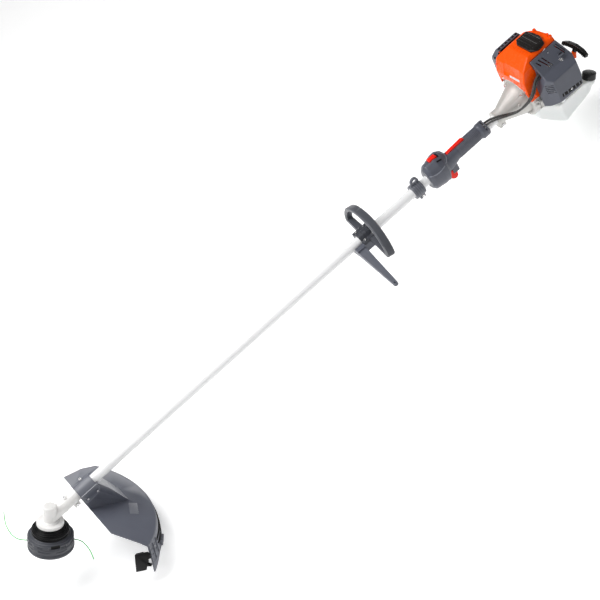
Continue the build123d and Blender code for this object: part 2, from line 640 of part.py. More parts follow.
# Station, half width, half height and the height of the middle, for the moulding's cross sections.
HOUSING = [(GRIP_FRONT, 21, 29, 1), (43, 28, 41, 1), (72, 31, 45, 0), (88, 29, 42, -2), (97, 19, 27, -1)]
HANDLE = [(137, 16.5, 20.5, 5), (216, 16.5, 20.5, 5), (222, 21.5, 23.5, 3.5), (GRIP_REAR, 21, 22.5, 3.5)]
PIVOT_R = 2.5
TRIGGER_X = 84.0
TRIGGER_Z = -30.0
LEVER_X = 116.0
LEVER_Z = 20.0
SWITCH_TRAVEL = 6.0


# The swell over the switch: station, half width, half height, height of the middle and its place to the right.
SWELL = [(56, 28, 42, 1, 2), (76, 29, 40, 4, 8), (92, 29, 40, 4, 8), (104, 22, 33, 4, 8), (110, 12, 20, 6, 8)]


def moulding(stations, shrink=0.0, mode=Mode.ADD):
    """The grip's outside, or the space inside it when shrunk."""
    faces = []
    for x, wide, tall, middle, *left in stations:
        with BuildSketch(shaft(x)) as face:
            with Locations((left[0] if left else 0, middle)):
                Ellipse(wide - shrink, tall - shrink)
        faces.append(face.sketch)
    loft(faces, ruled=True, mode=mode)


def grip_shell(name, keep_left):
    """One half of the grip, parted along the shaft."""
    with BuildPart() as shell:
        moulding(SWELL)
        slab(side(60), [(120, 24), (82, -46), (140, -46), (140, 24)], 120, mode=Mode.SUBTRACT)
        moulding(HOUSING + HANDLE)
        moulding([(x + (3 if x == GRIP_FRONT else 0), *rest) for x, *rest in HOUSING], shrink=3.0,
            mode=Mode.SUBTRACT)
        for screw in grip_screws:
            disc(screw.plane.offset(3), 6, -36)
        disc(side(21), PIVOT_R + 2.5, 42, at=(TRIGGER_X, TRIGGER_Z))
        disc(side(10), 4, 20, at=(LEVER_X, LEVER_Z - 1))
        # Openings for the trigger, the lockout lever, the stop switch and the cables.
        block((104, -10, -39), (123.5, 10, -14))
        block((76, -7, -70), (121, 7, -20), mode=Mode.SUBTRACT)
        block((110, -5, 14), (173, 5, 40), mode=Mode.SUBTRACT)
        block((59.5, -4.4, 30), (60 + 24 + SWITCH_TRAVEL + 0.5, 10.4, 50), mode=Mode.SUBTRACT)
        disc(shaft(0), TUBE_R + SEAT, 300, mode=Mode.SUBTRACT)
        block((CABLE_FRONT, -22, 8), (GRIP_REAR + 1, 4, 30), mode=Mode.SUBTRACT)
        disc(side(12), PIVOT_R, 24, at=(TRIGGER_X, TRIGGER_Z))
        disc(side(9), 2, 18, at=(LEVER_X, LEVER_Z))
        for screw in grip_screws:
            screw.hole()
        if keep_left:
            block((0, -0.01, -100), (300, 100, 100), mode=Mode.SUBTRACT)
        else:
            block((0, -100, -100), (300, 0.01, 100), mode=Mode.SUBTRACT)
    save(shell.part, name)


CABLE_FRONT = GRIP_REAR - 10.0
grip_shell("grip_shell_left", keep_left=True)
grip_shell("grip_shell_right", keep_left=False)

with BuildPart() as throttle_trigger:
    outline = [(79, -25), (90, -25), (112, -31), (116, -40), (113, -54), (107, -58), (100, -56),
        (91, -47), (79, -36)]
    slab(side(6.5), outline, 13)
    disc(side(7), PIVOT_R + RUN, 14, at=(TRIGGER_X, TRIGGER_Z), mode=Mode.SUBTRACT)
save(throttle_trigger.part, "throttle_trigger")

with BuildPart() as lockout_lever:
    slab(side(4.5), [(112, 16), (112, 25), (122, 27.5), (166, 29.5), (171, 27), (170, 20.5), (120, 16)], 9)
    disc(side(5), 2 + RUN, 10, at=(LEVER_X, LEVER_Z), mode=Mode.SUBTRACT)
save(lockout_lever.part, "lockout_lever")

with BuildPart() as stop_switch:
    block((60, -4, 33), (84, 10, 46.5))
    fillet(stop_switch.edges().group_by(Axis.Z)[-1], 2)
    block((57.5, -6, 31), (80, 11, 33))
save(stop_switch.part, "stop_switch")

# ==== Cables between the grip and the engine ======================================================

CABLE_R = 3.3
CABLE_SPREAD = 4.1  # each cable's distance from the middle of the pair
CABLE_ROUTE = [
    (CABLE_FRONT + 0.05, -8, 18.5), (252, -8, 18.5), (278, -26, 19), (301, -36, 12), (322, -47, 9),
    (345, -61.5, 22), (366, -72.5, 42),
    (379, -74.5, 63), (394, -74, 79), (CYLINDER_X - 18.4, -74, 79),
]


def beside(route, first_angle, turn_by):
    """A route next to this one, which winds round it by so many degrees on the way."""
    found = []
    for index, here in enumerate(route):
        start = max(index, 1)
        along = (Vector(*route[start]) - Vector(*route[start - 1])).normalized()
        across = along.cross(Vector(0, -0.426, 0.904)).normalized()
        lift = across.cross(along)
        angle = radians(first_angle + turn_by * max(index - 1, 0) / (len(route) - 2))
        point = Vector(*here) + (across * cos(angle) + lift * sin(angle)) * CABLE_SPREAD
        found.append((point.X, point.Y, AXIS_Z + point.Z))
    return found


tube_along("throttle_cable", beside(CABLE_ROUTE, 0, 150), CABLE_R)
tube_along("switch_lead", beside(CABLE_ROUTE, 180, 150), CABLE_R)

# ==== Clutch housing and clutch ===================================================================

BEARING_X = CLUTCH_X + 44.0
HUB_BORE = 7.5
DRUM_X = ENGINE_X - 6.0
DRUM_WALL = 2.5

with BuildPart() as clutch_housing:
    turned_on_shaft(
        CLUTCH_X,
        [(0, 0), (0, COLLAR_R - 1), (1, COLLAR_R), (20, COLLAR_R), (CONE_LENGTH - 12, CONE_R - 2),
         (CONE_LENGTH, CONE_R), (CONE_LENGTH, 0)],
    )
    for screw in flange_screws:
        disc(screw.plane, 6.5, -10)
    block((CLUTCH_X + 1, -9, -31), (CLUTCH_X + 21, 9, -16))
    turned_on_shaft(
        CLUTCH_X,
        [(-1, 0), (-1, TUBE_R + SEAT), (CLUTCH_SINK + 1, TUBE_R + SEAT), (CLUTCH_SINK + 1, HUB_BORE + 1),
         (44, HUB_BORE + 1), (44, 17.5 + SEAT), (57, 17.5 + SEAT), (57, 20), (CONE_LENGTH - 10, 35),
         (CONE_LENGTH - 8, DRUM_R + 1.5), (CONE_LENGTH + 1, DRUM_R + 1.5), (CONE_LENGTH + 1, 0)],
        mode=Mode.SUBTRACT,
    )
    block((CLUTCH_X - 1, -1, -35), (CLUTCH_X + 34, 1, -TUBE_R + 1), mode=Mode.SUBTRACT)
    collar_screw.hole(head_room=False)
    for screw in flange_screws:
        screw.hole()
save(clutch_housing.part, "clutch_housing")

with BuildPart() as clutch_drum:
    turned_on_shaft(
        CLUTCH_X,
        [(39.5, 0), (39.5, HUB_BORE), (CONE_LENGTH - 8, HUB_BORE), (CONE_LENGTH - 6, DRUM_R),
         (CONE_LENGTH + 16, DRUM_R), (CONE_LENGTH + 16, DRUM_R - DRUM_WALL),
         (CONE_LENGTH - 6 + DRUM_WALL, DRUM_R - DRUM_WALL), (CONE_LENGTH - 6 + DRUM_WALL, 0)],
    )
    disc(shaft(CLUTCH_X + 30), DRIVE_R + SEAT, DRIVE_REAR - CLUTCH_X - 30 + SEAT, mode=Mode.SUBTRACT)
save(clutch_drum.part, "clutch_drum")

SHOE_GAP = 1.0
CARRIER_R = 15.0
with BuildPart() as clutch_shoes:
    ring(shaft(DRUM_X + 4), DRUM_R - DRUM_WALL - SHOE_GAP, CARRIER_R + SEAT, 15)
    block((DRUM_X, -60, -2), (DRUM_X + 30, 60, 2), mode=Mode.SUBTRACT)
save(clutch_shoes.part, "clutch_shoes")

# ==== Engine block ================================================================================

CASE_DEPTH = 48.0
BLOCK_END = ENGINE_X + 103.0
MAIN_R = 9.0
WEB_R = 26.0
CYLINDER_BASE = 40.0

with BuildPart() as crankcase:
    turned_on_shaft(
        ENGINE_X,
        [(0, DRUM_R + 1.5), (0, CASE_R - 2), (2, CASE_R), (CASE_DEPTH, CASE_R), (CASE_DEPTH, MAIN_R),
        (CASE_DEPTH - 4, MAIN_R),
         (CASE_DEPTH - 4, CASE_R - 4), (4, CASE_R - 4), (4, DRUM_R + 1.5)],
    )
    block((ENGINE_X + CASE_DEPTH - EPS, -35, -42), (BLOCK_END - 5, 35, CYLINDER_BASE))
    turned_on_shaft(ENGINE_X, [(94, 0), (94, CASE_R - 2), (103, CASE_R - 2), (103, 0)])
    block((ENGINE_X + 90, -70, CYLINDER_BASE), (ENGINE_X + 110, 70, 70), mode=Mode.SUBTRACT)
    block((ENGINE_X + 54, -22, -63.4), (ENGINE_X + 92, 22, -41))
    for y in (-46, 46):
        for z in (-22, 22):
            disc(shaft(ENGINE_X + CASE_DEPTH - EPS), 6, 47, at=(y, z))
    turned_on_shaft(
        ENGINE_X,
        [(CASE_DEPTH - 5, 0), (CASE_DEPTH - 5, MAIN_R + RUN), (56, MAIN_R + RUN), (56, WEB_R + 2),
        (90, WEB_R + 2),
         (90, MAIN_R + RUN), (104, MAIN_R + RUN), (104, 0)],
        mode=Mode.SUBTRACT,
    )
    disc(floor(0), BORE_R + 3, 60, at=(CYLINDER_X, 0), mode=Mode.SUBTRACT)
    # The window for the ignition coil's core, and the boss behind it.
    block((ENGINE_X + 20, -16, 45), (ENGINE_X + CASE_DEPTH + 1, 16, 70), mode=Mode.SUBTRACT)
    for screw in flange_screws:
        disc(screw.plane.offset(-10), 6.5, -10)
    disc(shaft(ENGINE_X + 4), CASE_R - 4, 8, mode=Mode.SUBTRACT)
    disc(shaft(ENGINE_X - 1), DRUM_R + 1.5, 8, mode=Mode.SUBTRACT)
    for screw in flange_screws:
        screw.hole(head_room=False)
save(crankcase.part, "crankcase")

PIN_OFFSET = STROKE / 2
PLUG_SEAT = CYLINDER_TOP - 6.0
with BuildPart() as crankshaft:
    turned_on_shaft(
        ENGINE_X,
        [(-2, 0), (-2, 10), (-1, CARRIER_R), (14, CARRIER_R), (14, 8), (60, 8), (60, 0)],
    )
    disc(shaft(ENGINE_X + 40), MAIN_R, 20)
    disc(shaft(ENGINE_X + 59), WEB_R, 7)
    disc(shaft(ENGINE_X + 80), WEB_R, 7)
    disc(shaft(ENGINE_X + 65), 7, 16, at=(0, PIN_OFFSET))
    disc(shaft(ENGINE_X + 86), MAIN_R, 16)
save(crankshaft.part, "crankshaft")

with BuildPart() as flywheel:
    turned_on_shaft(ENGINE_X, [(20, 8 + SEAT), (20, 14), (30, 16), (30, FLYWHEEL_R), (40, FLYWHEEL_R),
        (40, 8 + SEAT)])
    for index in range(16):
        angle = radians(360 * index / 16)
        start = (24 * cos(angle), 24 * sin(angle))
        end = (48 * cos(angle + 0.25), 48 * sin(angle + 0.25))
        wide = (-1.1 * sin(angle), 1.1 * cos(angle))
        slab(
            shaft(ENGINE_X + 21),
            [(start[0] - wide[0], start[1] - wide[1]), (end[0] - wide[0], end[1] - wide[1]),
             (end[0] + wide[0], end[1] + wide[1]), (start[0] + wide[0], start[1] + wide[1])],
            10,
        )
save(flywheel.part, "flywheel")

with BuildPart() as cylinder:
    disc(floor(CYLINDER_BASE + SEAT), BORE_R + 3.5, CYLINDER_TOP - CYLINDER_BASE - 6, at=(CYLINDER_X, 0))
    for index in range(10):
        z = CYLINDER_BASE + 4 + 7 * index
        block((CYLINDER_X - 23.9, -36, z), (CYLINDER_X + 23.9, 36, z + 2.2))
    block((CYLINDER_X - 18, -42, CYLINDER_BASE + 18), (CYLINDER_X + 18, 0, CYLINDER_BASE + 44))
    block((CYLINDER_X - 18, 0, CYLINDER_BASE + 18), (CYLINDER_X + 18, 41.9, CYLINDER_BASE + 44))
    block((CYLINDER_X - 23.9, -28, CYLINDER_BASE + SEAT), (CYLINDER_X + 23.9, 28, CYLINDER_BASE + 6))
    disc(floor(CYLINDER_BASE - 1), BORE_R, 66, at=(CYLINDER_X, 0), mode=Mode.SUBTRACT)
    disc(floor(CYLINDER_BASE + 60), 5 + SEAT, 20, at=(CYLINDER_X, 0), mode=Mode.SUBTRACT)
    disc(floor(PLUG_SEAT), 14, 20, at=(CYLINDER_X, 0), mode=Mode.SUBTRACT)
    disc(side(50), 7, 100, at=(CYLINDER_X, CYLINDER_BASE + 31), mode=Mode.SUBTRACT)
save(cylinder.part, "cylinder")

with BuildPart() as piston:
    disc(floor(64), BORE_R - RUN, 22, at=(CYLINDER_X, 0))
    disc(floor(63), BORE_R - 3, 18, at=(CYLINDER_X, 0), mode=Mode.SUBTRACT)
save(piston.part, "piston")

with BuildPart() as spark_plug:
    turn(
        side(),
        Axis((CYLINDER_X, 0, AXIS_Z), (0, 0, 1)),
        [(CYLINDER_X + r, z) for r, z in ((0, PLUG_SEAT - 3), (5, PLUG_SEAT - 3), (5, PLUG_SEAT + SEAT),
        (9, PLUG_SEAT + SEAT),
         (9, PLUG_SEAT + 6), (4.5, PLUG_SEAT + 7), (4.5, PLUG_SEAT + 18), (0, PLUG_SEAT + 18))],
    )
save(spark_plug.part, "spark_plug")

with BuildPart() as plug_boot:
    disc(floor(PLUG_SEAT + 9), 6, 12, at=(CYLINDER_X, 0))
    block((CYLINDER_X - 3, -6, PLUG_SEAT + 14), (CYLINDER_X + 24, 6, PLUG_SEAT + 21))
    disc(floor(PLUG_SEAT + 8), 4.5 + SEAT, 10 + SEAT, at=(CYLINDER_X, 0), mode=Mode.SUBTRACT)
save(plug_boot.part, "plug_boot")

with BuildPart() as ignition_coil:
    block((ENGINE_X + 31, -13, FLYWHEEL_R + 0.5), (ENGINE_X + 40, -7, 62))
    block((ENGINE_X + 31, 7, FLYWHEEL_R + 0.5), (ENGINE_X + 40, 13, 62))
    block((ENGINE_X + 28, -15, 60), (ENGINE_X + CASE_DEPTH + 0.8, 15, 79))
save(ignition_coil.part, "ignition_coil")

# ==== Covers ======================================================================================


def crossed(outlines, grow=0.0, mode=Mode.ADD):
    """The body common to several rounded outlines drawn out across each other, all grown alike."""
    with BuildPart() as common:
        for plane, points, rounding in outlines:
            with BuildSketch(plane) as face:
                Polygon(*points, align=None)
                if grow:
                    offset(amount=grow, kind=Kind.INTERSECTION, mode=Mode.REPLACE)
                if rounding > (4 if grow else 0):
                    fillet(face.vertices(), rounding + grow)
            extrude(face.sketch, amount=700, both=True, mode=Mode.INTERSECT if common.part else Mode.ADD)
    add(common.part, mode=mode)


E = ENGINE_X
COWL = [
    (shaft(0), [(-62, 10), (-62, 108), (-48, COVER_TOP), (34, COVER_TOP), (52, 112), (52, 10)], 8),
    (side(), [(E - 5, 10), (E - 5, 78), (E + 8, 110), (E + 44, COVER_TOP), (E + 140, COVER_TOP),
    (E + 140, 10)], 6),
    (floor(0), [(E - 5, -70), (E - 5, 60), (E + 82, 60), (E + 90, 46), (E + 109, 28), (E + 123, 10),
    (E + 129, -30), (E + 129, -70)], 0),
]
PLUG_HOLE = [(E + 61, -40), (E + 61, 5), (E + 73, 20), (E + 98, 18.5), (E + 103, 0), (E + 104, -24),
    (E + 94, -50), (E + 75, -50)]
with BuildPart() as engine_cover:
    crossed(COWL)
    crossed(COWL, grow=-WALL, mode=Mode.SUBTRACT)
    # Open below, where it sits round the fan case, and behind, where the starter closes it.
    block((E - 20, -45, 0), (E + 140, 45, 50), mode=Mode.SUBTRACT)
    disc(shaft(E - 20), CASE_R + 0.5, 200, mode=Mode.SUBTRACT)
    block((E + 103, -100, 0), (E + 140, 100, 64), mode=Mode.SUBTRACT)
    block((E + 50, -80, 0), (E + 140, -50, 104), mode=Mode.SUBTRACT)
    block((E + 37.5, -80, 96), (E + 140, -54.2, 140), mode=Mode.SUBTRACT)
    block((E + 48, 40, 42), (E + 96, 80, 100), mode=Mode.SUBTRACT)
    slab(floor(COVER_TOP - 10), PLUG_HOLE, 20, mode=Mode.SUBTRACT)
save(engine_cover.part, "engine_cover")

CAP = [
    (floor(0), [(E + 57, -44), (E + 57, 8), (E + 71, 26), (E + 101, 25), (E + 108, 0), (E + 109, -26),
    (E + 97, -57), (E + 71, -57)], 3),
    (shaft(0), [(-60, COVER_TOP - 8), (-50, COVER_TOP + 7), (22, COVER_TOP + 7), (28, COVER_TOP - 8)], 2),
]
with BuildPart() as plug_cover:
    crossed(CAP)
    crossed(CAP, grow=-WALL, mode=Mode.SUBTRACT)
    block((E + 40, -70, COVER_TOP - 20), (E + 130, 60, COVER_TOP + 0.1), mode=Mode.SUBTRACT)
    for share, start, height, mode in ((0.97, -6, 12, Mode.ADD), (0.88, -7, 11.6, Mode.SUBTRACT)):
        lip = [(E + 86 + (x - E - 86) * share, -10 + (y + 10) * share) for x, y in PLUG_HOLE]
        slab(floor(COVER_TOP + start), lip, height, mode=mode)
save(plug_cover.part, "plug_cover")

PRIMER = (E + 62, -92)
SLOPE_TOP = (-54.7, 124)  # the filter cover's sloping face, as Y and height
SLOPE_FOOT = (-90, 82)
CHOKE_HOLE_R = 3.3
CHOKE_X = E + 112
CHOKE_SHARE = 0.79  # how far down the slope the knob stands
FILTER = [
    (shaft(0), [SLOPE_TOP, SLOPE_FOOT, (-115, 68), (-115, -4), (-90, -14), (-62.5, -14), (-62.5, 98),
    (-54.7, 108)], 3),
    (floor(0), [(E + 36, -40), (E + 127, -40), (E + 139, -90), (E + 129, -115), (E + 47, -115),
    (E + 24, -84), (E + 18, -74)], 3),
    (side(), [(E + 38, 122), (E + 38, 81), (E + 18, 25), (E + 35, -14), (E + 120, -14), (E + 129, 28),
    (E + 139, 69),
              (E + 138, 82), (E + 127, 122)], 3),
]
slope = Vector(0, SLOPE_TOP[0] - SLOPE_FOOT[0], SLOPE_TOP[1] - SLOPE_FOOT[1])
choke_plane = Plane(
    origin=Vector(CHOKE_X, SLOPE_TOP[0], AXIS_Z + SLOPE_TOP[1]) - slope * CHOKE_SHARE,
    x_dir=(1, 0, 0),
    z_dir=slope.cross(Vector(-1, 0, 0)),
)
with BuildPart() as filter_cover:
    crossed(FILTER)
    crossed(FILTER, grow=-WALL, mode=Mode.SUBTRACT)
    # Open towards the carburettor, before the cables, over the primer and at the choke lever.
    block((E + 42, -70, -11), (E + 122, -50, 105), mode=Mode.SUBTRACT)
    disc(shaft(E + 22, CABLE_ROUTE[-1][1], CABLE_ROUTE[-1][2]), 8.6, 26, mode=Mode.SUBTRACT)
    disc(floor(-20), 8.3, 20, at=PRIMER, mode=Mode.SUBTRACT)
    disc(choke_plane.offset(-20), CHOKE_HOLE_R, 40, mode=Mode.SUBTRACT)
save(filter_cover.part, "filter_cover")

# ==== Carburettor and air filter ==================================================================

with BuildPart() as carburettor:
    block((CYLINDER_X - 18, -82, CYLINDER_BASE + 14), (CYLINDER_X + 22, -42.1, CYLINDER_BASE + 45))
    disc(floor(CYLINDER_BASE + 44), 6, 8, at=(CYLINDER_X + 4, -62))
    disc(side(-30), 7, 80, at=(CYLINDER_X, CYLINDER_BASE + 31), mode=Mode.SUBTRACT)
save(carburettor.part, "carburettor")

with BuildPart() as filter_element:
    block((CYLINDER_X - 20, -109, 8), (CYLINDER_X + 44, -82.1, 62))
    fillet(filter_element.edges().filter_by(Axis.Y), 8)
    disc(side(-80), 8, 14, at=(CYLINDER_X, CYLINDER_BASE + 31), mode=Mode.SUBTRACT)
save(filter_element.part, "filter_element")

with BuildPart() as primer_bulb:
    turn(
        side(PRIMER[1]),
        Axis((PRIMER[0], PRIMER[1], AXIS_Z), (0, 0, 1)),
        [(PRIMER[0] + r, z) for r, z in ((0, -26), (5, -25), (7.5, -22), (8, -18), (8, -8), (0, -8))],
    )
save(primer_bulb.part, "primer_bulb")

with BuildPart() as choke_lever:
    disc(choke_plane.offset(0.3), 8, 3)
    disc(choke_plane.offset(3), CHOKE_HOLE_R - RUN, -15)
    with BuildSketch(choke_plane.offset(3)):
        Rectangle(14, 4)
    extrude(amount=4)
save(choke_lever.part, "choke_lever")

# ==== Muffler =====================================================================================

with BuildPart() as muffler:
    block((E + 52, 42, CYLINDER_BASE + 6), (E + 92, 72, CYLINDER_BASE + 56))
    fillet(muffler.edges().filter_by(Axis.Y), 7)
    block((E + 54, 44, CYLINDER_BASE + 8), (E + 90, 70, CYLINDER_BASE + 54), mode=Mode.SUBTRACT)
    disc(side(50), 7, 20, at=(CYLINDER_X, CYLINDER_BASE + 31), mode=Mode.SUBTRACT)
    disc(side(100), 6, 20, at=(CYLINDER_X - 12, CYLINDER_BASE + 18), mode=Mode.SUBTRACT)
save(muffler.part, "muffler")

GUARD_BOX = [
    (side(), [(E + 10, 50), (E + 10, 104), (E + 24, 120), (E + 96, 120), (E + 102, 110), (E + 102, 50),
    (E + 92, 36), (E + 20, 36)], 4),
    (shaft(0), [(30, 36), (30, 120), (67, 120), (79, 92), (82, 56), (77, 36)], 4),
]
with BuildPart() as muffler_cover:
    crossed(GUARD_BOX)
    crossed(GUARD_BOX, grow=-WALL, mode=Mode.SUBTRACT)
    block((E - 10, 0, 0), (E + 150, 52.05, 130), mode=Mode.SUBTRACT)
    disc(shaft(E - 20), CASE_R + 2, 230, mode=Mode.SUBTRACT)
save(muffler_cover.part, "muffler_cover")

# ==== Starter =====================================================================================

STARTER_X = ENGINE_X + 103.0
STARTER_LENGTH = 53.0
PULLEY_R = 28.0
PULL_TRAVEL = 800.0
PULL = Vector(0.55, -0.15, 0.82).normalized()
HANDLE_POINT = Vector(STARTER_X + 80, -32, AXIS_Z + 28)
BAR_NORMAL = Vector(0, -0.947, -0.32).cross(PULL).normalized()
HANDLE_PLANE = Plane(origin=HANDLE_POINT, x_dir=tuple(PULL.cross(BAR_NORMAL)), z_dir=tuple(BAR_NORMAL))
PULL_PLANE = Plane(origin=HANDLE_POINT, z_dir=tuple(PULL))

with BuildPart() as starter_housing:
    turned_on_shaft(
        STARTER_X,
        [(0.05, 0), (0.05, 62), (38, 62), (50, 54), (STARTER_LENGTH, 44), (STARTER_LENGTH, 0)],
    )
    disc(PULL_PLANE.offset(-13), 9, -34)
    turned_on_shaft(
        STARTER_X,
        [(-1, 0), (-1, 59.5), (37, 59.5), (48, 52), (50.5, 43), (50.5, 9), (8, 9), (8, 0)],
        mode=Mode.SUBTRACT,
    )
    disc(PULL_PLANE, 2.4, -60, mode=Mode.SUBTRACT)
save(starter_housing.part, "starter_housing")

with BuildPart() as starter_pulley:
    turned_on_shaft(
        STARTER_X,
        [(24, 9 + RUN), (24, PULLEY_R + 6), (26, PULLEY_R + 6), (27, PULLEY_R), (33, PULLEY_R),
        (34, PULLEY_R + 6),
         (36, PULLEY_R + 6), (36, 9 + RUN)],
    )
save(starter_pulley.part, "starter_pulley")

with BuildPart() as starter_rope:
    disc(PULL_PLANE.offset(-1.05), 2.0, -30)
save(starter_rope.part, "starter_rope")

with BuildPart() as starter_handle:
    bow = [(-41, -8), (-26, -4), (0, -1.5), (26, -4), (41, -8), (41, 2), (25, 9), (0, 12), (-25, 9),
        (-41, 2)]
    slab(HANDLE_PLANE.offset(-7), bow, 14)
    fillet(starter_handle.edges(), 2.5)
    disc(PULL_PLANE.offset(-8), 6.5, 9)
    disc(PULL_PLANE.offset(-10), 2.0 + SEAT, 9, mode=Mode.SUBTRACT)
save(starter_handle.part, "starter_handle")

# ==== Fuel tank ===================================================================================

NECK_LEAN = Vector(0.485, 0, 0.874)
CAP_POINT = Vector(E + 176, -50, AXIS_Z - 67.8)
NECK_PLANE = Plane(origin=CAP_POINT, x_dir=(0, 1, 0), z_dir=tuple(NECK_LEAN))
NECK_R = 15.0
CAP_R = 18.5
TANK = [
    (side(), [(E + 10, -52), (E + 10, TANK_LOW), (E + 64, TANK_LOW), (E + 119, -98), (E + 150, -91),
    (E + 184, -86),
              (E + 190, -76), (E + 146, -51.6), (E + 120, -51.6)], 0),
    (floor(0), [(E + 60, -70), (E + 41, -35), (E + 28, 0), (E + 24, 36), (E + 34, 70), (E + 160, 70),
    (E + 182, 40),
                (E + 184, -40), (E + 172, -62), (E + 150, -70)], 9),
]
# The space inside keeps below the deck, which hugs the engine's round cases.
TANK_SPACE = [*TANK, (side(), [(E, -200), (E, -70), (E + 250, -70), (E + 250, -200)], 0)]
with BuildPart() as fuel_tank:
    crossed(TANK)
    disc(NECK_PLANE, NECK_R + 2, -14)
    crossed(TANK_SPACE, grow=-WALL, mode=Mode.SUBTRACT)
    disc(shaft(E - 20), CASE_R + 3.5, 230, mode=Mode.SUBTRACT)
    block((E + 53, -23, -63.4 - SEAT), (E + 93, 23, -40), mode=Mode.SUBTRACT)
    disc(NECK_PLANE, NECK_R - 2, -24, mode=Mode.SUBTRACT)
save(fuel_tank.part, "fuel_tank")

with BuildPart() as fuel_cap:
    disc(NECK_PLANE.offset(SEAT), CAP_R, 18)
    disc(NECK_PLANE.offset(SEAT), NECK_R - 2 - LOOSE, -6)
save(fuel_cap.part, "fuel_cap")

with BuildPart() as cap_screws:
    for screw in (gearbox_ear_screw, gearbox_stop_screw, collar_screw, hanger_screw, *guard_side_screws,
        guard_wing_screw,
                  *loop_screws, *grip_screws, *flange_screws):
        screw.body()
save(cap_screws.part, "cap_screws")
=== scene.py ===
import json
from math import atan2, cos, degrees, pi, radians, sin

import bmesh
import bpy
from mathutils import Matrix, Vector

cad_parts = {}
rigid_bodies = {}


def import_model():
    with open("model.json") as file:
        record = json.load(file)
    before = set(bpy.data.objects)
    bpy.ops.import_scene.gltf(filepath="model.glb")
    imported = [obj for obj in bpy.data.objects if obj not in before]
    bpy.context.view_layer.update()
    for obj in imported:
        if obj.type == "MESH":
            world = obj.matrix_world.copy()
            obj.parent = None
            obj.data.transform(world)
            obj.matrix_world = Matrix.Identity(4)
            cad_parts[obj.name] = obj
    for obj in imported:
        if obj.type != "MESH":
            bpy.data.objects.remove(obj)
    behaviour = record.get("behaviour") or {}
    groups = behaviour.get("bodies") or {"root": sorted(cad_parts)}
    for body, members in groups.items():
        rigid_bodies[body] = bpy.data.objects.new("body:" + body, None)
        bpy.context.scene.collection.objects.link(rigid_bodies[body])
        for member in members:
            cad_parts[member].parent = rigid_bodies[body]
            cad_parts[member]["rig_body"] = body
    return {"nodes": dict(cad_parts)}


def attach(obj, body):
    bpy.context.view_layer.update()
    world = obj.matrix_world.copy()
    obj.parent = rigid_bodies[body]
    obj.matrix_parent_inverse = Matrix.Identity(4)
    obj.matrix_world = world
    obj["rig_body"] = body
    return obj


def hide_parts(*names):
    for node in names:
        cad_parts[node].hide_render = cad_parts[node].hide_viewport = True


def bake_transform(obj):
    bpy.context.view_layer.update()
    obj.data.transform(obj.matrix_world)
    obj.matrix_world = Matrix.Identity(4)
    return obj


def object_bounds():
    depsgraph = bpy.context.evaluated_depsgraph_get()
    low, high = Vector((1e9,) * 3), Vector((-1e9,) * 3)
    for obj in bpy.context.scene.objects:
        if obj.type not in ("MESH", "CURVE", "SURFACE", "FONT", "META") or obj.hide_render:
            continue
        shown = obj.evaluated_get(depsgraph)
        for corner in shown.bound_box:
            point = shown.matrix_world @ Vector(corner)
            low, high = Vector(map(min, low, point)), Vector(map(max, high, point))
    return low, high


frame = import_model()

CAD_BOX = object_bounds()
NODES = frame["nodes"]

# ---- Studio --------------------------------------------------------------------------------------
# A pale floor under the trimmer, a white surround and four large soft lights: three over the engine, the
# shaft and the head, and a weaker one in front that fills the near faces.
bpy.ops.object.select_all(action="DESELECT")
scene = bpy.context.scene
scene.view_settings.view_transform = "Standard"
scene.view_settings.look = "None"

LOOK = Vector((0.1526, 0.7196, -0.6774)).normalized()
SIDEWAYS = LOOK.cross(Vector((0.6596, 0.4362, 0.6120))).normalized()
UPWARDS = SIDEWAYS.cross(LOOK)
camera = bpy.data.objects.new("camera", bpy.data.cameras.new("camera"))
scene.collection.objects.link(camera)
stance = Matrix((SIDEWAYS, UPWARDS, -LOOK)).transposed().to_4x4()
camera.matrix_world = Matrix.Translation((-1.080, -3.127, 2.901)) @ stance
camera.data.sensor_width = 36.0
camera.data.lens = 103.368
camera.data.clip_start = 0.05
scene.camera = camera

floor_level = CAD_BOX[0][2] - 0.001
bpy.ops.mesh.primitive_plane_add(size=40.0, location=(-0.4, 0.0, floor_level))
floor = bpy.context.object
floor.name = "floor"
floor_paint = bpy.data.materials.new("floor_paint")
floor_paint.use_nodes = True
floor_shader = floor_paint.node_tree.nodes["Principled BSDF"]
floor_shader.inputs["Base Color"].default_value = (0.93, 0.93, 0.93, 1.0)
floor_shader.inputs["Roughness"].default_value = 0.8
floor_shader.inputs["Emission Color"].default_value = (1.0, 1.0, 1.0, 1.0)
floor_shader.inputs["Emission Strength"].default_value = 0.36
floor.data.materials.append(floor_paint)

world = bpy.data.worlds.new("surround")
scene.world = world
world.use_nodes = True
world.node_tree.nodes["Background"].inputs["Color"].default_value = (1.0, 1.0, 1.0, 1.0)
world.node_tree.nodes["Background"].inputs["Strength"].default_value = 0.22

for name, place, aim, size, power in (
    ("light_over_engine", (-0.7, 0.5, 2.2), (0.35, 0.0, 0.0), 1.9, 34.0),
    ("light_over_shaft", (-1.2, 0.9, 2.1), (-0.6, 0.0, 0.0), 1.9, 20.0),
    ("light_over_head", (-2.6, 0.3, 1.9), (-1.05, 0.0, -0.1), 2.4, 32.0),
    ("light_in_front", (-0.5, -2.6, 1.9), (-0.2, 0.0, 0.0), 2.4, 12.0),
):
    bpy.ops.object.light_add(type="AREA", location=place)
    light = bpy.context.object
    light.name = name
    light.data.shape = "DISK"
    light.data.size = size
    light.data.energy = power
    light.rotation_euler = (Vector(aim) - Vector(place)).to_track_quat("-Z", "Y").to_euler()

# ---- Cutting line --------------------------------------------------------------------------------
# Two free ends of drawn nylon line, 2.7 mm across, that leave the head through its eyelets and trail behind
# the turn. They ride on the cutting head.


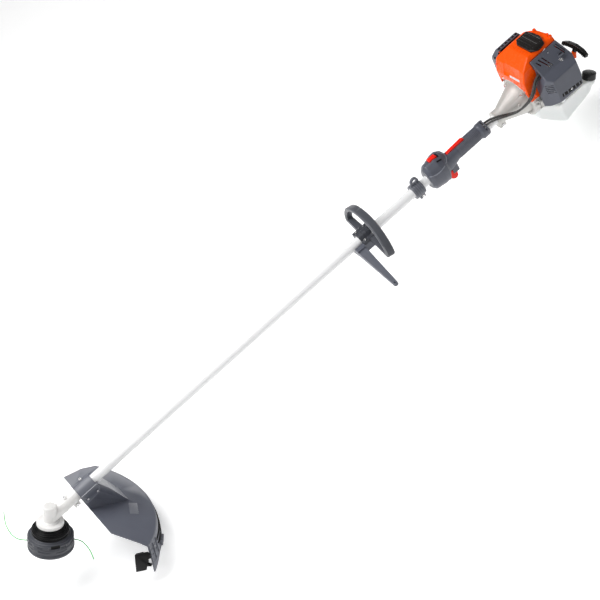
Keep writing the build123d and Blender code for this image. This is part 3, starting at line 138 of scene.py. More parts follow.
def paint_of(name, color, roughness, metallic=0.0, coat=0.0, gloss=0.3, grain=0.0, grain_size=0.0006,
             shade=0.04, wear_and_sheen=0.0):
    """A procedural finish: mottled colour, uneven gloss, a fine grain, and paler convex edges: rubbed wear,
    and painted highlight on the jacket's rib crests.
    """
    finish = bpy.data.materials.new(name)
    finish.use_nodes = True
    nodes, links = finish.node_tree.nodes, finish.node_tree.links
    shader = nodes["Principled BSDF"]
    place = nodes.new("ShaderNodeTexCoord")

    def noise(scale, detail):
        texture = nodes.new("ShaderNodeTexNoise")
        texture.inputs["Scale"].default_value = scale
        texture.inputs["Detail"].default_value = detail
        links.new(place.outputs["Object"], texture.inputs["Vector"])
        return texture

    def ramp(source, low, high):
        scale = nodes.new("ShaderNodeMapRange")
        scale.inputs["To Min"].default_value = low
        scale.inputs["To Max"].default_value = high
        links.new(source.outputs[0], scale.inputs["Value"])
        return scale

    mottle = noise(38.0, 6.0)
    tone = nodes.new("ShaderNodeHueSaturation")
    tone.inputs["Color"].default_value = (*color, 1.0)
    links.new(ramp(mottle, 1.0 - shade * 2, 1.0 + shade * 2).outputs[0], tone.inputs["Value"])
    surface = tone.outputs["Color"]
    # Convex edges turn paler: rubbed wear, and where a finish asks for much of it, a painted highlight.
    if wear_and_sheen:
        edges = nodes.new("ShaderNodeNewGeometry")
        edge_paling = nodes.new("ShaderNodeMapRange")
        edge_paling.inputs["From Min"].default_value = 0.52
        edge_paling.inputs["From Max"].default_value = 0.62
        edge_paling.inputs["To Max"].default_value = wear_and_sheen
        links.new(edges.outputs["Pointiness"], edge_paling.inputs["Value"])
        paler = nodes.new("ShaderNodeMix")
        paler.data_type = "RGBA"
        paler.inputs["B"].default_value = (*[0.6 * part + 0.4 * 0.75 for part in color], 1.0)
        links.new(edge_paling.outputs[0], paler.inputs["Factor"])
        links.new(surface, paler.inputs["A"])
        surface = paler.outputs["Result"]
    links.new(surface, shader.inputs["Base Color"])
    links.new(ramp(noise(90.0, 8.0), roughness - 0.06, roughness + 0.08).outputs[0],
              shader.inputs["Roughness"])
    shader.inputs["Metallic"].default_value = metallic
    shader.inputs["Specular IOR Level"].default_value = gloss
    shader.inputs["Coat Weight"].default_value = coat
    shader.inputs["Coat Roughness"].default_value = 0.12
    if grain:
        skin = nodes.new("ShaderNodeBump")
        skin.inputs["Strength"].default_value = grain
        skin.inputs["Distance"].default_value = grain_size * 0.5
        links.new(noise(1.0 / grain_size, 3.0).outputs[0], skin.inputs["Height"])
        links.new(skin.outputs["Normal"], shader.inputs["Normal"])
    return finish


def dressed(piece, finish, slot, body, *replaced):
    """Gives a piece its finish and puts it on its body in place of the CAD nodes; the slot is not used."""
    piece.data.materials.clear()
    piece.data.materials.append(finish)
    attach(piece, body)
    if replaced:
        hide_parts(*replaced)
    return piece


LINE_ACROSS = 0.0027
nylon = paint_of("nylon", (0.12, 0.52, 0.16), 0.3, coat=0.3, grain=0.15, grain_size=0.002)
nylon_shader = nylon.node_tree.nodes["Principled BSDF"]
nylon_shader.inputs["Subsurface Weight"].default_value = 0.3
nylon_shader.inputs["Subsurface Scale"].default_value = 0.002


def spline_of(name, points, radius):
    """A round cord on a smooth NURBS line through the open air between these control points."""
    curve = bpy.data.curves.new(name, "CURVE")
    curve.dimensions = "3D"
    curve.bevel_depth = radius
    curve.bevel_resolution = 4
    curve.resolution_u = 16
    curve.use_fill_caps = True
    line = curve.splines.new("NURBS")
    line.points.add(len(points) - 1)
    for point, place in zip(line.points, points):
        point.co = (*place, 1.0)
    line.order_u = 3
    line.use_endpoint_u = True
    piece = bpy.data.objects.new(name, curve)
    scene.collection.objects.link(piece)
    return piece


line_long = spline_of("nylon_line_long", [(-1.3139, 0.0254, -0.0586), (-1.3304, 0.0357, -0.0483),
                                          (-1.3371, 0.06, -0.0441), (-1.3363, 0.092, -0.0446),
                                          (-1.3303, 0.125, -0.0483), (-1.3185, 0.16, -0.0557)],
                      LINE_ACROSS / 2)
dressed(line_long, nylon, "nylon_line", "cutting_head", "line_end_long")

line_short = spline_of("nylon_line_short", [(-1.2331, -0.0254, -0.1091), (-1.2203, -0.0333, -0.117),
                                            (-1.2175, -0.064, -0.1188), (-1.2192, -0.092, -0.1177),
                                            (-1.2252, -0.12, -0.114)], LINE_ACROSS / 2)
dressed(line_short, nylon, "nylon_line", "cutting_head", "line_end_short")

# ---- Shaft ---------------------------------------------------------------------------------------
# A drawn aluminium tube with pale enamel, the solid drive shaft inside it and the bushings between them,
# with the gears, bearings and springs that the housings hide. They keep their own shapes. The
# tube's axis lies 27 mm under the harness eye.
AXIS_HEIGHT = -0.027
enamel = paint_of("tube_enamel", (0.90, 0.90, 0.905), 0.18, coat=0.6, gloss=0.7, shade=0.012, grain=0.04,
                  grain_size=0.003)
steel = paint_of("machined_steel", (0.56, 0.56, 0.57), 0.28, metallic=1.0, grain=0.12, grain_size=0.0004)
bright_steel = paint_of("bright_steel", (0.82, 0.82, 0.82), 0.2, metallic=1.0, grain=0.06, grain_size=0.0004)
rubber = paint_of("black_rubber", (0.010, 0.010, 0.010), 0.55, gloss=0.2, grain=0.3, grain_size=0.0006)
foam = paint_of("filter_foam", (0.05, 0.05, 0.05), 0.95, grain=0.9, grain_size=0.0016)
# The black moulding also colours thin beads and bars that paint the shade of gaps and slots.
black = paint_of("black_moulding_and_gap_shade", (0.0035, 0.0035, 0.004), 0.30, gloss=0.15, grain=0.2, grain_size=0.0005,
                 wear_and_sheen=0.06)
cast = paint_of("blasted_casting", (0.60, 0.59, 0.565), 0.46, metallic=0.45, gloss=0.5, grain=0.45,
                grain_size=0.0009, shade=0.07, wear_and_sheen=0.25)
gloss_black = paint_of("polished_black", (0.003, 0.003, 0.003), 0.18, gloss=0.45, grain=0.3,
                       grain_size=0.0016, wear_and_sheen=0.1)
rope_skin = paint_of("starter_rope", (0.62, 0.60, 0.55), 0.8, grain=0.8, grain_size=0.0012)
glowing_tank_skin = paint_of("glowing_tank_moulding", (0.93, 0.965, 0.945), 0.3, coat=0.2, gloss=0.5, shade=0.015, grain=0.08,
                     grain_size=0.002)
tank_shader = glowing_tank_skin.node_tree.nodes["Principled BSDF"]
tank_shader.inputs["Subsurface Weight"].default_value = 0.6
tank_shader.inputs["Subsurface Scale"].default_value = 0.02
tank_shader.inputs["Subsurface Radius"].default_value = (1.0, 1.0, 0.9)
# A faint emission makes the tank and the primer bulb glow: painted light standing in for their bright
# translucent plastic.
tank_shader.inputs["Emission Color"].default_value = (0.95, 1.0, 0.98, 1.0)
tank_shader.inputs["Emission Strength"].default_value = 0.07
for finish, members in (
    (enamel, ("shaft_tube",)),
    (steel, ("drive_shaft", "pinion_gear", "output_gear", "output_spindle", "ball_bearings", "head_spring",
             "line_cutter", "clutch_drum", "clutch_shoes", "crankshaft", "spark_plug", "muffler")),
    (bright_steel, ("cap_screws", "line_eyelets")),
    (cast, ("crankcase", "flywheel", "cylinder", "piston", "carburettor")),
    (black, ("line_spool", "bump_knob", "ignition_coil", "starter_pulley")),
    (rubber, ("shaft_bushings", "plug_boot")),
    (foam, ("filter_element",)),
    (glowing_tank_skin, ("primer_bulb",)),
):
    for member in members:
        NODES[member].data.materials.clear()
        NODES[member].data.materials.append(finish)

# ---- Gearbox -------------------------------------------------------------------------------------
# A white enamelled casting: a tower round the spindle, a smooth flange under it and a sleeve that clamps the
# tube. Every corner has the radius that the casting pattern leaves.


def alone(piece):
    """Makes a piece the only one chosen, and the one that the next operation works on."""
    bpy.ops.object.select_all(action="DESELECT")
    piece.select_set(True)
    bpy.context.view_layer.objects.active = piece


def eased(name, node, width, segments=3, angle=30.0):
    """A copy of a solid with its corners rounded as a mould or a casting pattern leaves them."""
    piece = bpy.data.objects.new(name, NODES[node].data.copy())
    scene.collection.objects.link(piece)
    alone(piece)
    bpy.ops.mesh.customdata_custom_splitnormals_clear()
    bpy.ops.object.mode_set(mode="EDIT")
    bpy.ops.mesh.select_all(action="SELECT")
    bpy.ops.mesh.remove_doubles(threshold=0.00001)
    bpy.ops.mesh.dissolve_limited(angle_limit=radians(2.0))
    bpy.ops.object.mode_set(mode="OBJECT")
    return rounded(piece, width, segments, angle)


def rounded(piece, width, segments=2, angle=30.0):
    """Rounds every corner of a piece that is sharper than the angle."""
    alone(piece)
    if width:
        corners = piece.modifiers.new("corners", "BEVEL")
        corners.width = width
        corners.segments = segments
        corners.limit_method = "ANGLE"
        corners.angle_limit = radians(angle)
        bpy.ops.object.modifier_apply(modifier=corners.name)
    bpy.ops.object.shade_smooth_by_angle(angle=radians(35))
    return piece


gearbox_enamel = paint_of("gearbox_enamel", (0.80, 0.79, 0.775), 0.28, coat=0.2, gloss=0.5, grain=0.3,
                          grain_size=0.0011, wear_and_sheen=0.15)
gearbox = eased("gearbox", "gearbox_housing", 0.0016)
dressed(gearbox, gearbox_enamel, "grey_enamel", "chassis", "gearbox_housing")

# ---- Cutting head --------------------------------------------------------------------------------
# A glass-filled nylon head under a ridged rubber dust ring: a stepped case with a castellated band, a smooth
# lower cover with two latch tabs, and the bump knob. All of it turns with the spindle.
HEAD_TILT = radians(32)
SPINDLE_POINT = Vector((-1.238, 0.0, AXIS_HEIGHT))
SPINDLE_UP = Vector((sin(HEAD_TILT), 0.0, cos(HEAD_TILT)))
SPINDLE_OUT = Vector((cos(HEAD_TILT), 0.0, -sin(HEAD_TILT)))


def on_head(radius, height, angle):
    """A point at this distance, height and angle round the spindle."""
    out = SPINDLE_OUT * cos(radians(angle)) + Vector((0.0, sin(radians(angle)), 0.0))
    return SPINDLE_POINT + SPINDLE_UP * height + out * radius


def outward(angle, height=0.0):
    """The direction away from the spindle at this angle."""
    return on_head(1.0, height, angle) - on_head(0.0, height, angle)


def placed(piece, foot, along, side=None):
    """Stands a piece that was made upright at the world's origin on this foot, along this direction."""
    up = Vector(along).normalized()
    across = (Vector(side) - up * up.dot(Vector(side))).normalized() if side else up.orthogonal().normalized()
    turn = Matrix((across, up.cross(across), up)).transposed().to_4x4()
    piece.data.transform(Matrix.Translation(Vector(foot)) @ turn)
    return piece


def turned(name, foot, along, profile, sides=96, side=None):
    """A round piece: a ring drawn out from one (radius, height) step to the next."""
    bpy.ops.object.select_all(action="DESELECT")
    bpy.ops.mesh.primitive_circle_add(vertices=sides, radius=max(profile[0][0], 0.000001))
    piece = bpy.context.object
    piece.name = name
    bpy.ops.object.mode_set(mode="EDIT")
    bpy.ops.mesh.select_all(action="SELECT")
    bpy.ops.transform.translate(value=(0.0, 0.0, profile[0][1]))
    for (before, low), (radius, high) in zip(profile, profile[1:]):
        bpy.ops.mesh.extrude_edges_move(TRANSFORM_OT_translate={"value": (0.0, 0.0, high - low)})
        share = max(radius, 0.000001) / max(before, 0.000001)
        bpy.ops.transform.resize(value=(share, share, 1.0), center_override=(0.0, 0.0, high))
    bpy.ops.mesh.select_all(action="SELECT")
    bpy.ops.mesh.remove_doubles(threshold=0.000005)
    bpy.ops.mesh.normals_make_consistent(inside=False)
    bpy.ops.object.mode_set(mode="OBJECT")
    return placed(piece, foot, along, side)


def sunk(piece, depth, test):
    """Presses those faces of a piece that pass the test this deep into it."""
    alone(piece)
    bpy.ops.object.mode_set(mode="EDIT")
    bpy.ops.mesh.select_mode(type="FACE")
    bpy.ops.mesh.select_all(action="DESELECT")
    form = bmesh.from_edit_mesh(piece.data)
    for face in form.faces:
        if test(face):
            face.select_set(True)
    bmesh.update_edit_mesh(piece.data)
    bpy.ops.mesh.extrude_region_shrink_fatten(TRANSFORM_OT_shrink_fatten={"value": -depth})
    bpy.ops.object.mode_set(mode="OBJECT")


def bar(name, start, end, width, depth, normal, edge=0.0):
    """A straight rib, slot or plate between two points, this wide, and this deep along the normal."""
    start, end, normal = Vector(start), Vector(end), Vector(normal)
    along = (end - start).normalized()
    across = normal.cross(along).normalized()
    bpy.ops.object.select_all(action="DESELECT")
    bpy.ops.mesh.primitive_cube_add(size=1.0)
    piece = bpy.context.object
    piece.name = name
    stretch = Matrix.Diagonal(((end - start).length, width, depth, 1.0))
    turn = Matrix((along, across, along.cross(across))).transposed().to_4x4()
    piece.data.transform(Matrix.Translation((start + end) / 2) @ turn @ stretch)
    return rounded(piece, edge) if edge else piece


def joined(name, pieces):
    """Several shapes of one moulding or one set, as one piece."""
    bpy.ops.object.select_all(action="DESELECT")
    for piece in pieces:
        piece.select_set(True)
    bpy.context.view_layer.objects.active = pieces[0]
    bpy.ops.object.join()
    pieces[0].name = name
    return pieces[0]


def repeated(piece, moves):
    """The piece and one copy of it for each of these moves, as one piece."""
    set_of = [piece]
    for move in moves:
        twin = bpy.data.objects.new(piece.name, piece.data.copy())
        scene.collection.objects.link(twin)
        twin.data.transform(move)
        set_of.append(twin)
    return joined(piece.name, set_of)


def around(piece, count, pivot, axis):
    """The piece and its copies, spread evenly round an axis."""
    centre = Matrix.Translation(Vector(pivot))
    return repeated(piece, [
        centre @ Matrix.Rotation(radians(360.0) * turn / count, 4, Vector(axis)) @ centre.inverted()
        for turn in range(1, count)
    ])


def in_row(piece, count, step):
    """The piece and its copies, each one step further."""
    return repeated(piece, [Matrix.Translation(Vector(step) * place) for place in range(1, count)])


def cut(piece, *tools):
    """Cuts these shapes out of a piece."""
    for tool in tools:
        hollow = piece.modifiers.new("hollow", "BOOLEAN")
        hollow.operation = "DIFFERENCE"
        hollow.solver = "EXACT"
        hollow.object = tool
        alone(piece)
        bpy.ops.object.modifier_apply(modifier=hollow.name)
        bpy.data.objects.remove(tool)
    return piece


grey = paint_of("grey_moulding", (0.090, 0.097, 0.124), 0.33, gloss=0.5, grain=0.2, grain_size=0.0005,
                wear_and_sheen=0.45)
head_grey = paint_of("head_moulding", (0.055, 0.058, 0.070), 0.38, gloss=0.35, grain=0.22, grain_size=0.0005,
                     wear_and_sheen=0.3)
dark_grey = paint_of("dark_grey_moulding", (0.045, 0.048, 0.058), 0.42, gloss=0.3, grain=0.25,
                     grain_size=0.0005)

ring_profile = [(0.0052, -0.019), (0.034, -0.018), (0.036, -0.0185), (0.037, -0.023), (0.0385, -0.0222),
                (0.0402, -0.0228), (0.041, -0.0262), (0.0424, -0.0254), (0.0438, -0.0262), (0.0444, -0.0295),
                (0.0456, -0.029), (0.0467, -0.030), (0.0468, -0.0335), (0.0458, -0.0345), (0.0458, -0.0365),
                (0.0468, -0.0375), (0.0468, -0.0404), (0.0443, -0.0404), (0.0443, -0.033), (0.040, -0.032),
                (0.038, -0.027), (0.014, -0.025), (0.014, -0.0409), (0.0052, -0.0409), (0.0052, -0.019)]
dust_ring = rounded(turned("head_dust_ring", SPINDLE_POINT, SPINDLE_UP, ring_profile, 128), 0.0004, 2, 40.0)
dressed(dust_ring, black, "dark_rubber", NODES["dust_ring"]["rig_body"], "dust_ring")

case_profile = [(0.0052, -0.041), (0.0468, -0.041), (0.0484, -0.0418), (0.0492, -0.0445), (0.0528, -0.0448),
                (0.054, -0.0456), (0.0545, -0.0480), (0.0563, -0.0484), (0.0572, -0.0494), (0.0572, -0.0560),
                (0.0565, -0.0566), (0.0565, -0.0590), (0.0575, -0.0597), (0.0575, -0.0670), (0.0568, -0.0676),
                (0.0568, -0.0752), (0.0564, -0.0756), (0.0539, -0.0756), (0.0539, -0.050), (0.046, -0.044),
                (0.0095, -0.044), (0.0095, -0.0800), (0.0052, -0.0800), (0.0052, -0.041)]
head_case = turned("head_case", SPINDLE_POINT, SPINDLE_UP, case_profile, 144, SPINDLE_OUT)
CASE_SIDE = 0.0563
WINDOW_HEIGHT = -0.0510


def on_band(face, low, high, period, share, offset=0.0):
    """Whether a face of the case is in this band of heights and in the sunk share of each period."""
    spot = face.calc_center_median() - SPINDLE_POINT
    height = spot.dot(SPINDLE_UP)
    angle = degrees(atan2(spot.y, spot.dot(SPINDLE_OUT))) + offset
    radius = (spot - SPINDLE_UP * height).length
    return low < height < high and radius > CASE_SIDE and (angle % period) / period < share


sunk(head_case, 0.0011, lambda face: on_band(face, -0.0555, -0.0498, 30.0, 0.5))
sunk(head_case, 0.0009, lambda face: on_band(face, -0.0665, -0.0600, 45.0, 0.66, 12.0))
windows = []
for angle in (77, 257):
    middle = on_head(0.0560, WINDOW_HEIGHT, angle)
    windows.append(bar("window", middle - SPINDLE_UP * 0.0045, middle + SPINDLE_UP * 0.0045, 0.023, 0.009,
                       middle - on_head(0.0, WINDOW_HEIGHT, angle)))
for angle in (-28, 152):
    eye = turned("eye", on_head(0.050, -0.067, angle), outward(angle, -0.067),
                 [(0.0, 0.0), (0.00403, 0.0), (0.00403, 0.012), (0.0, 0.012)], 32)
    windows.append(eye)
cut(head_case, *windows)
rounded(head_case, 0.0003, 2, 40.0)
dressed(head_case, head_grey, "grey_plastic", "cutting_head", "head_housing")

cover_profile = [(0.0200, -0.0885), (0.026, -0.0885), (0.027, -0.0875), (0.036, -0.0875), (0.037, -0.0885),
                 (0.050, -0.0885), (0.0558, -0.0860), (0.0574, -0.0840), (0.0579, -0.0820), (0.0579, -0.0785),
                 (0.0572, -0.0779), (0.0572, -0.0768), (0.0576, -0.0762), (0.0534, -0.0762), (0.0534, -0.082),
                 (0.050, -0.0855), (0.0200, -0.0855), (0.0200, -0.0885)]
head_lid = turned("head_lid", SPINDLE_POINT, SPINDLE_UP, cover_profile, 144)
rounded(head_lid, 0.0003, 2, 40.0)
dressed(head_lid, head_grey, "grey_plastic", "cutting_head", "head_cover")

latches = []
for angle in (77, 257):
    out = outward(angle)
    sideways = SPINDLE_UP.cross(out).normalized() * 0.0085
    middle = on_head(0.0528, WINDOW_HEIGHT, angle)
    latches.append(bar("latch", middle - SPINDLE_UP * 0.0042, middle + SPINDLE_UP * 0.0042, 0.0220, 0.0022,
                       out, 0.0006))
    for height in (-0.0022, 0.0, 0.0022):
        spot = middle + SPINDLE_UP * height + out * 0.0012
        latches.append(bar("latch_rib", spot - sideways, spot + sideways, 0.0012, 0.0008, out, 0.0003))
dressed(joined("head_latches", latches), black, "grey_plastic", "cutting_head")

# ---- Guard ---------------------------------------------------------------------------------------
# One injection moulding: a curved deck with a skirt round its rim, stiffened by outer ribs, with two black
# beads painted on the skirt as the shade of its gaps, and a saddle that holds it on the tube. A steel blade
# in a sheath trims the line.


def arc_bead(name, radius, height, start, arc, thickness, squash=1.0):
    """A round bead or rib that follows the turn about the spindle from one angle over this arc."""
    first = on_head(radius, height, start)
    out = (first - on_head(0.0, height, start)).normalized()
    bpy.ops.object.select_all(action="DESELECT")
    bpy.ops.mesh.primitive_circle_add(vertices=10, radius=thickness, fill_type="NGON")
    piece = bpy.context.object
    piece.name = name
    piece.data.transform(Matrix.Diagonal((1.0, squash, 1.0, 1.0)))
    placed(piece, first, out.cross(SPINDLE_UP), out)
    bpy.ops.object.mode_set(mode="EDIT")
    bpy.ops.mesh.select_all(action="SELECT")
    bpy.ops.mesh.spin(steps=int(abs(arc)) + 2, angle=radians(-arc), center=SPINDLE_POINT, axis=SPINDLE_UP)
    bpy.ops.mesh.select_all(action="SELECT")
    bpy.ops.mesh.normals_make_consistent(inside=False)
    bpy.ops.object.mode_set(mode="OBJECT")
    return piece


guard = eased("guard", "guard_shell", 0.0007)
beads = [
    guard,
    arc_bead("rim", 0.2585, -0.0140, -50.5, 87.0, 0.0016),
    arc_bead("hem", 0.2722, -0.0645, -50.5, 87.0, 0.0013),
]
for start in (-50.6, -46.0, -41.0):
    beads.append(bar("rib", on_head(0.2610, -0.0190, start), on_head(0.2718, -0.0610, start), 0.0018, 0.0050,
                     outward(start), 0.0004))
for height in (-0.030, -0.044):
    beads.append(arc_bead("step", 0.2612 + (-0.019 - height) * 0.255, height, -50.5, 16.0, 0.0010))
beads.append(bar("lug", on_head(0.2735, -0.0560, -35.0), on_head(0.2735, -0.0560, -29.5), 0.0180, 0.0085,
                 outward(-32.0), 0.0018))
beads.append(bar("bare_panel", (-1.0653, -0.0385, -0.1415), (-1.0800, -0.0815, -0.1315), 0.0215, 0.0016,
                 (0.62, -0.03, 0.78), 0.0006))
dressed(joined("guard", beads), grey, "grey_plastic", "chassis", "guard_shell")
# Two flattened black beads along the skirt: painted shade where the skirt's gaps fall dark.
shade_lines = [arc_bead("skirt_shade_line", 0.2640 + place * 0.0035, -0.0300 - place * 0.0140, -40.5 + place * 2.0, 34.0,
                 0.0030, 0.42) for place in (0, 1)]
dressed(joined("skirt_shade_lines", shade_lines), black, "black_plastic", "chassis")
saddle = eased("guard_saddle", "guard_bracket", 0.0010)
dressed(saddle, grey, "grey_plastic", "chassis", "guard_bracket")
sheath = eased("blade_cover", "cutter_sheath", 0.0009)
dressed(sheath, black, "black_plastic", "chassis", "cutter_sheath")

# ---- Loop handle and barrier bar -----------------------------------------------------------------
# The loop is a nylon hoop with a soft skin. A ribbed clamp with four cap screws holds it and the barrier bar,
# a tapered arm that keeps the operator's leg away, on the tube.


def moulded(name, node, grain, smoothing):
    """A moulding with generous radii: its skin is laid again in even faces and relaxed so many times."""
    piece = eased(name, node, 0.0)
    skin = piece.modifiers.new("skin", "REMESH")
    skin.mode = "VOXEL"
    skin.voxel_size = grain
    bpy.ops.object.modifier_apply(modifier=skin.name)
    relax = piece.modifiers.new("relax", "SMOOTH")
    relax.factor = 0.5
    relax.iterations = smoothing
    bpy.ops.object.modifier_apply(modifier=relax.name)
    bpy.ops.object.shade_smooth()
    return piece


soft_skin = paint_of("soft_grip", (0.070, 0.074, 0.088), 0.36, gloss=0.55, grain=0.35, grain_size=0.0010,
                     wear_and_sheen=0.35)
hoop = eased("front_handle", "loop_handle", 0.0042, 5, 20.0)
dressed(hoop, soft_skin, "soft_grip", "chassis", "loop_handle")
clamp_top = eased("handle_clamp", "loop_clamp_top", 0.0015)
clamp_ribs = in_row(bar("clamp_rib", (-0.2005, -0.0135, -0.0090), (-0.2005, 0.0135, -0.0090), 0.0022, 0.0026,
                        (0.0, 0.0, 1.0), 0.0006), 5, (0.0099, 0.0, 0.0))
dressed(joined("handle_clamp", [clamp_top, clamp_ribs]), dark_grey, "grey_plastic", "chassis",
        "loop_clamp_top")
arm = moulded("leg_bar", "barrier_bar", 0.0008, 6)
dressed(arm, grey, "grey_plastic", "chassis", "barrier_bar")

# ---- Harness ring --------------------------------------------------------------------------------
# A ribbed moulding round the tube with an upright eye for the harness hook and a screw ear underneath.
ring_body = eased("harness_ring", "hanger_ring", 0.0012)
ring_ribs = []
for station in (-0.0155, -0.0095, -0.0035, 0.0025, 0.0085):
    ring_ribs.append(turned("ring_rib", (station, 0.0, AXIS_HEIGHT), (1.0, 0.0, 0.0),
                            [(0.0195, -0.0011), (0.0206, -0.0009), (0.0211, 0.0), (0.0206, 0.0009),
                             (0.0195, 0.0011), (0.0195, -0.0011)], 64))
dressed(joined("harness_ring", [ring_body, *ring_ribs]), grey, "grey_plastic", "chassis", "hanger_ring")

# ---- Throttle grip -------------------------------------------------------------------------------
# Two nylon half shells round the tube with a parting line, a raised crest painted paler as a highlight, and a
# ribbed soft handle, with a black bar painted as the shade of the slot beside the stop switch. The trigger,
# the lockout lever and the stop switch are red, each on its own pivot or slide.
handle_skin = paint_of("handle_skin", (0.082, 0.088, 0.115), 0.38, gloss=0.5, grain=0.7, grain_size=0.0014,
                       wear_and_sheen=0.4)
HANDLE_START, HANDLE_END = 0.137, 0.216
for name, node in (("grip_left", "grip_shell_left"), ("grip_right", "grip_shell_right")):
    shell = moulded(name, node, 0.0010, 8)
    dressed(shell, grey, "grey_plastic", "chassis", node)
    shell.data.materials.append(handle_skin)
    for face in shell.data.polygons:
        if HANDLE_START < face.center.x < HANDLE_END:
            face.material_index = 1
handle_ribs = []
for turn in range(-7, 8):
    lean = radians(180 + turn * 11.0)
    spot = Vector((0.0, 0.0163 * cos(lean), 0.0203 * sin(lean)))
    handle_ribs.append(bar("handle_rib", (0.141, spot.y, -0.022 + spot.z), (0.212, spot.y, -0.022 + spot.z),
                           0.0014, 0.0012, spot, 0.0004))
dressed(joined("handle_ribs", handle_ribs), handle_skin, "soft_grip", "chassis")
collar = turned("grip_collar_rib", (0.2375, 0.0, -0.0235), (1.0, 0.0, 0.0),
                [(0.0205, -0.0020), (0.0225, -0.0014), (0.0225, 0.0014), (0.0205, 0.0020), (0.0205, -0.0020)],
                64, (0.0, 1.0, 0.0))
dressed(rounded(collar, 0.0004), grey, "grey_plastic", "chassis")
crest = spline_of("grip_crest", [(0.0360, -0.0195, -0.0068), (0.0462, -0.0258, -0.0085),
                                 (0.0563, -0.0272, -0.0106), (0.0684, -0.0282, -0.0098),
                                 (0.0805, -0.0267, -0.0082), (0.0905, -0.0212, -0.0076),
                                 (0.1000, -0.0142, -0.0066), (0.1062, -0.0066, -0.0026),
                                 (0.1052, -0.0016, 0.0041), (0.1004, 0.0009, 0.0105),
                                 (0.0954, 0.0074, 0.0150)], 0.0015)
alone(crest)
bpy.ops.object.convert(target="MESH")
# The crest is a paler grey than the shells: a painted highlight along the ridge.
crest_highlight = paint_of("crest_highlight", (0.21, 0.22, 0.26), 0.3, gloss=0.5)
dressed(crest, crest_highlight, "grey_plastic", "chassis")
# A thin black bar beside the stop switch: painted shade of the slot there.
switch_slot_shade = bar("switch_slot_shade", (0.0735, -0.0152, 0.0122), (0.0885, -0.0145, 0.0076), 0.0042, 0.0012,
                 (0.1, -0.62, 0.78), 0.0004)
dressed(switch_slot_shade, black, "black_plastic", "chassis")
red = paint_of("red_moulding", (0.88, 0.014, 0.003), 0.32, coat=0.1, gloss=0.25, shade=0.02, grain=0.08,
               grain_size=0.0008)
dressed(eased("trigger", "throttle_trigger", 0.0018, 4), red, "red_plastic", "throttle_trigger",
        "throttle_trigger")
dressed(eased("lockout", "lockout_lever", 0.0018, 4), red, "red_plastic", "lockout_lever", "lockout_lever")
button = eased("stop_button", "stop_switch", 0.0016, 4)
button_ribs = in_row(bar("button_rib", (0.066, -0.0022, 0.0196), (0.066, 0.0082, 0.0196), 0.0016, 0.0014,
                         (0.0, 0.0, 1.0), 0.0005), 5, (0.0033, 0.0, 0.0))
dressed(joined("stop_button", [button, button_ribs]), red, "red_plastic", "stop_switch", "stop_switch")

# ---- Conduits ------------------------------------------------------------------------------------
# Two corrugated conduits run side by side from the grip to the engine: the throttle cable's and the stop
# switch's. Each is a nylon tube with a rib on every fourth of its rings.
JACKET_RADIUS = 0.00270
JACKET_RIB = 0.00060
RING_STEP = 0.00065


def ringed(name, rings, sides):
    """A closed round skin over these rings: each has a centre, two directions across it and a radius."""
    form = bmesh.new()
    loops = []
    for centre, across, lift, radius in rings:
        loop = []
        for place in range(sides):
            angle = 2 * pi * place / sides
            loop.append(form.verts.new(centre + (across * cos(angle) + lift * sin(angle)) * radius))
        loops.append(loop)
    for before, here in zip(loops, loops[1:]):
        for place in range(sides):
            after = (place + 1) % sides
            form.faces.new((before[place], before[after], here[after], here[place]))
    form.faces.new(list(reversed(loops[0])))
    form.faces.new(loops[-1])
    bmesh.ops.recalc_face_normals(form, faces=form.faces)
    mesh = bpy.data.meshes.new(name)
    form.to_mesh(mesh)
    form.free()
    piece = bpy.data.objects.new(name, mesh)
    scene.collection.objects.link(piece)
    return piece


# The jacket's rib crests are painted much paler than its grooves: a painted highlight along each rib.
jacket = paint_of("cable_jacket", (0.010, 0.009, 0.008), 0.26, gloss=0.6, grain=0.1, grain_size=0.0005,
                  wear_and_sheen=0.5)
for name, node, run, route in (("throttle_conduit", "throttle_cable", 0.2304,
                                [(0.2321, -0.0117, -0.0102), (0.252, -0.0117, -0.0102),
                                 (0.2757, -0.0294, -0.0082), (0.2997, -0.0398, -0.014),
                                 (0.3207, -0.0501, -0.0157), (0.3424, -0.0631, -0.0022),
                                 (0.363, -0.0733, 0.0177), (0.3756, -0.0755, 0.038), (0.391, -0.0736, 0.0548),
                                 (0.4186, -0.0717, 0.0554)]),
                               ("switch_conduit", "switch_lead", 0.2320,
                                [(0.2321, -0.0043, -0.0068), (0.252, -0.0043, -0.0068),
                                 (0.2803, -0.0226, -0.0078), (0.3023, -0.0322, -0.016),
                                 (0.3233, -0.0439, -0.0203), (0.3476, -0.0599, -0.0078),
                                 (0.369, -0.0717, 0.0123), (0.3824, -0.0735, 0.034), (0.397, -0.0744, 0.0492),
                                 (0.4186, -0.0763, 0.0486)])):
    guide = spline_of("guide", route, 0.0)
    bpy.context.view_layer.update()
    trace = bpy.data.meshes.new_from_object(guide)
    line = [vertex.co.copy() for vertex in trace.vertices]
    bpy.data.objects.remove(guide)
    reach = [0.0]
    for before, here in zip(line, line[1:]):
        reach.append(reach[-1] + (here - before).length)
    count = int(reach[-1] / RING_STEP)
    across = Vector((0.0, 0.0, 1.0))
    rings, stretch = [], 0
    for step in range(count + 1):
        distance = reach[-1] * step / count
        while stretch < len(line) - 2 and reach[stretch + 1] < distance:
            stretch += 1
        along = (line[stretch + 1] - line[stretch]).normalized()
        centre = line[stretch] + along * (distance - reach[stretch])
        across = (across - along * across.dot(along)).normalized()
        thick = JACKET_RADIUS + JACKET_RIB * max(0.0, sin(2.0 * pi * step / 4.0 + 0.6)) ** 0.5
        rings.append((centre, across, along.cross(across), thick))
    conduit = ringed(name, rings, 14)
    alone(conduit)
    bpy.ops.object.shade_smooth_by_angle(angle=radians(50))
    dressed(conduit, jacket, "cable_jacket", "chassis", node)

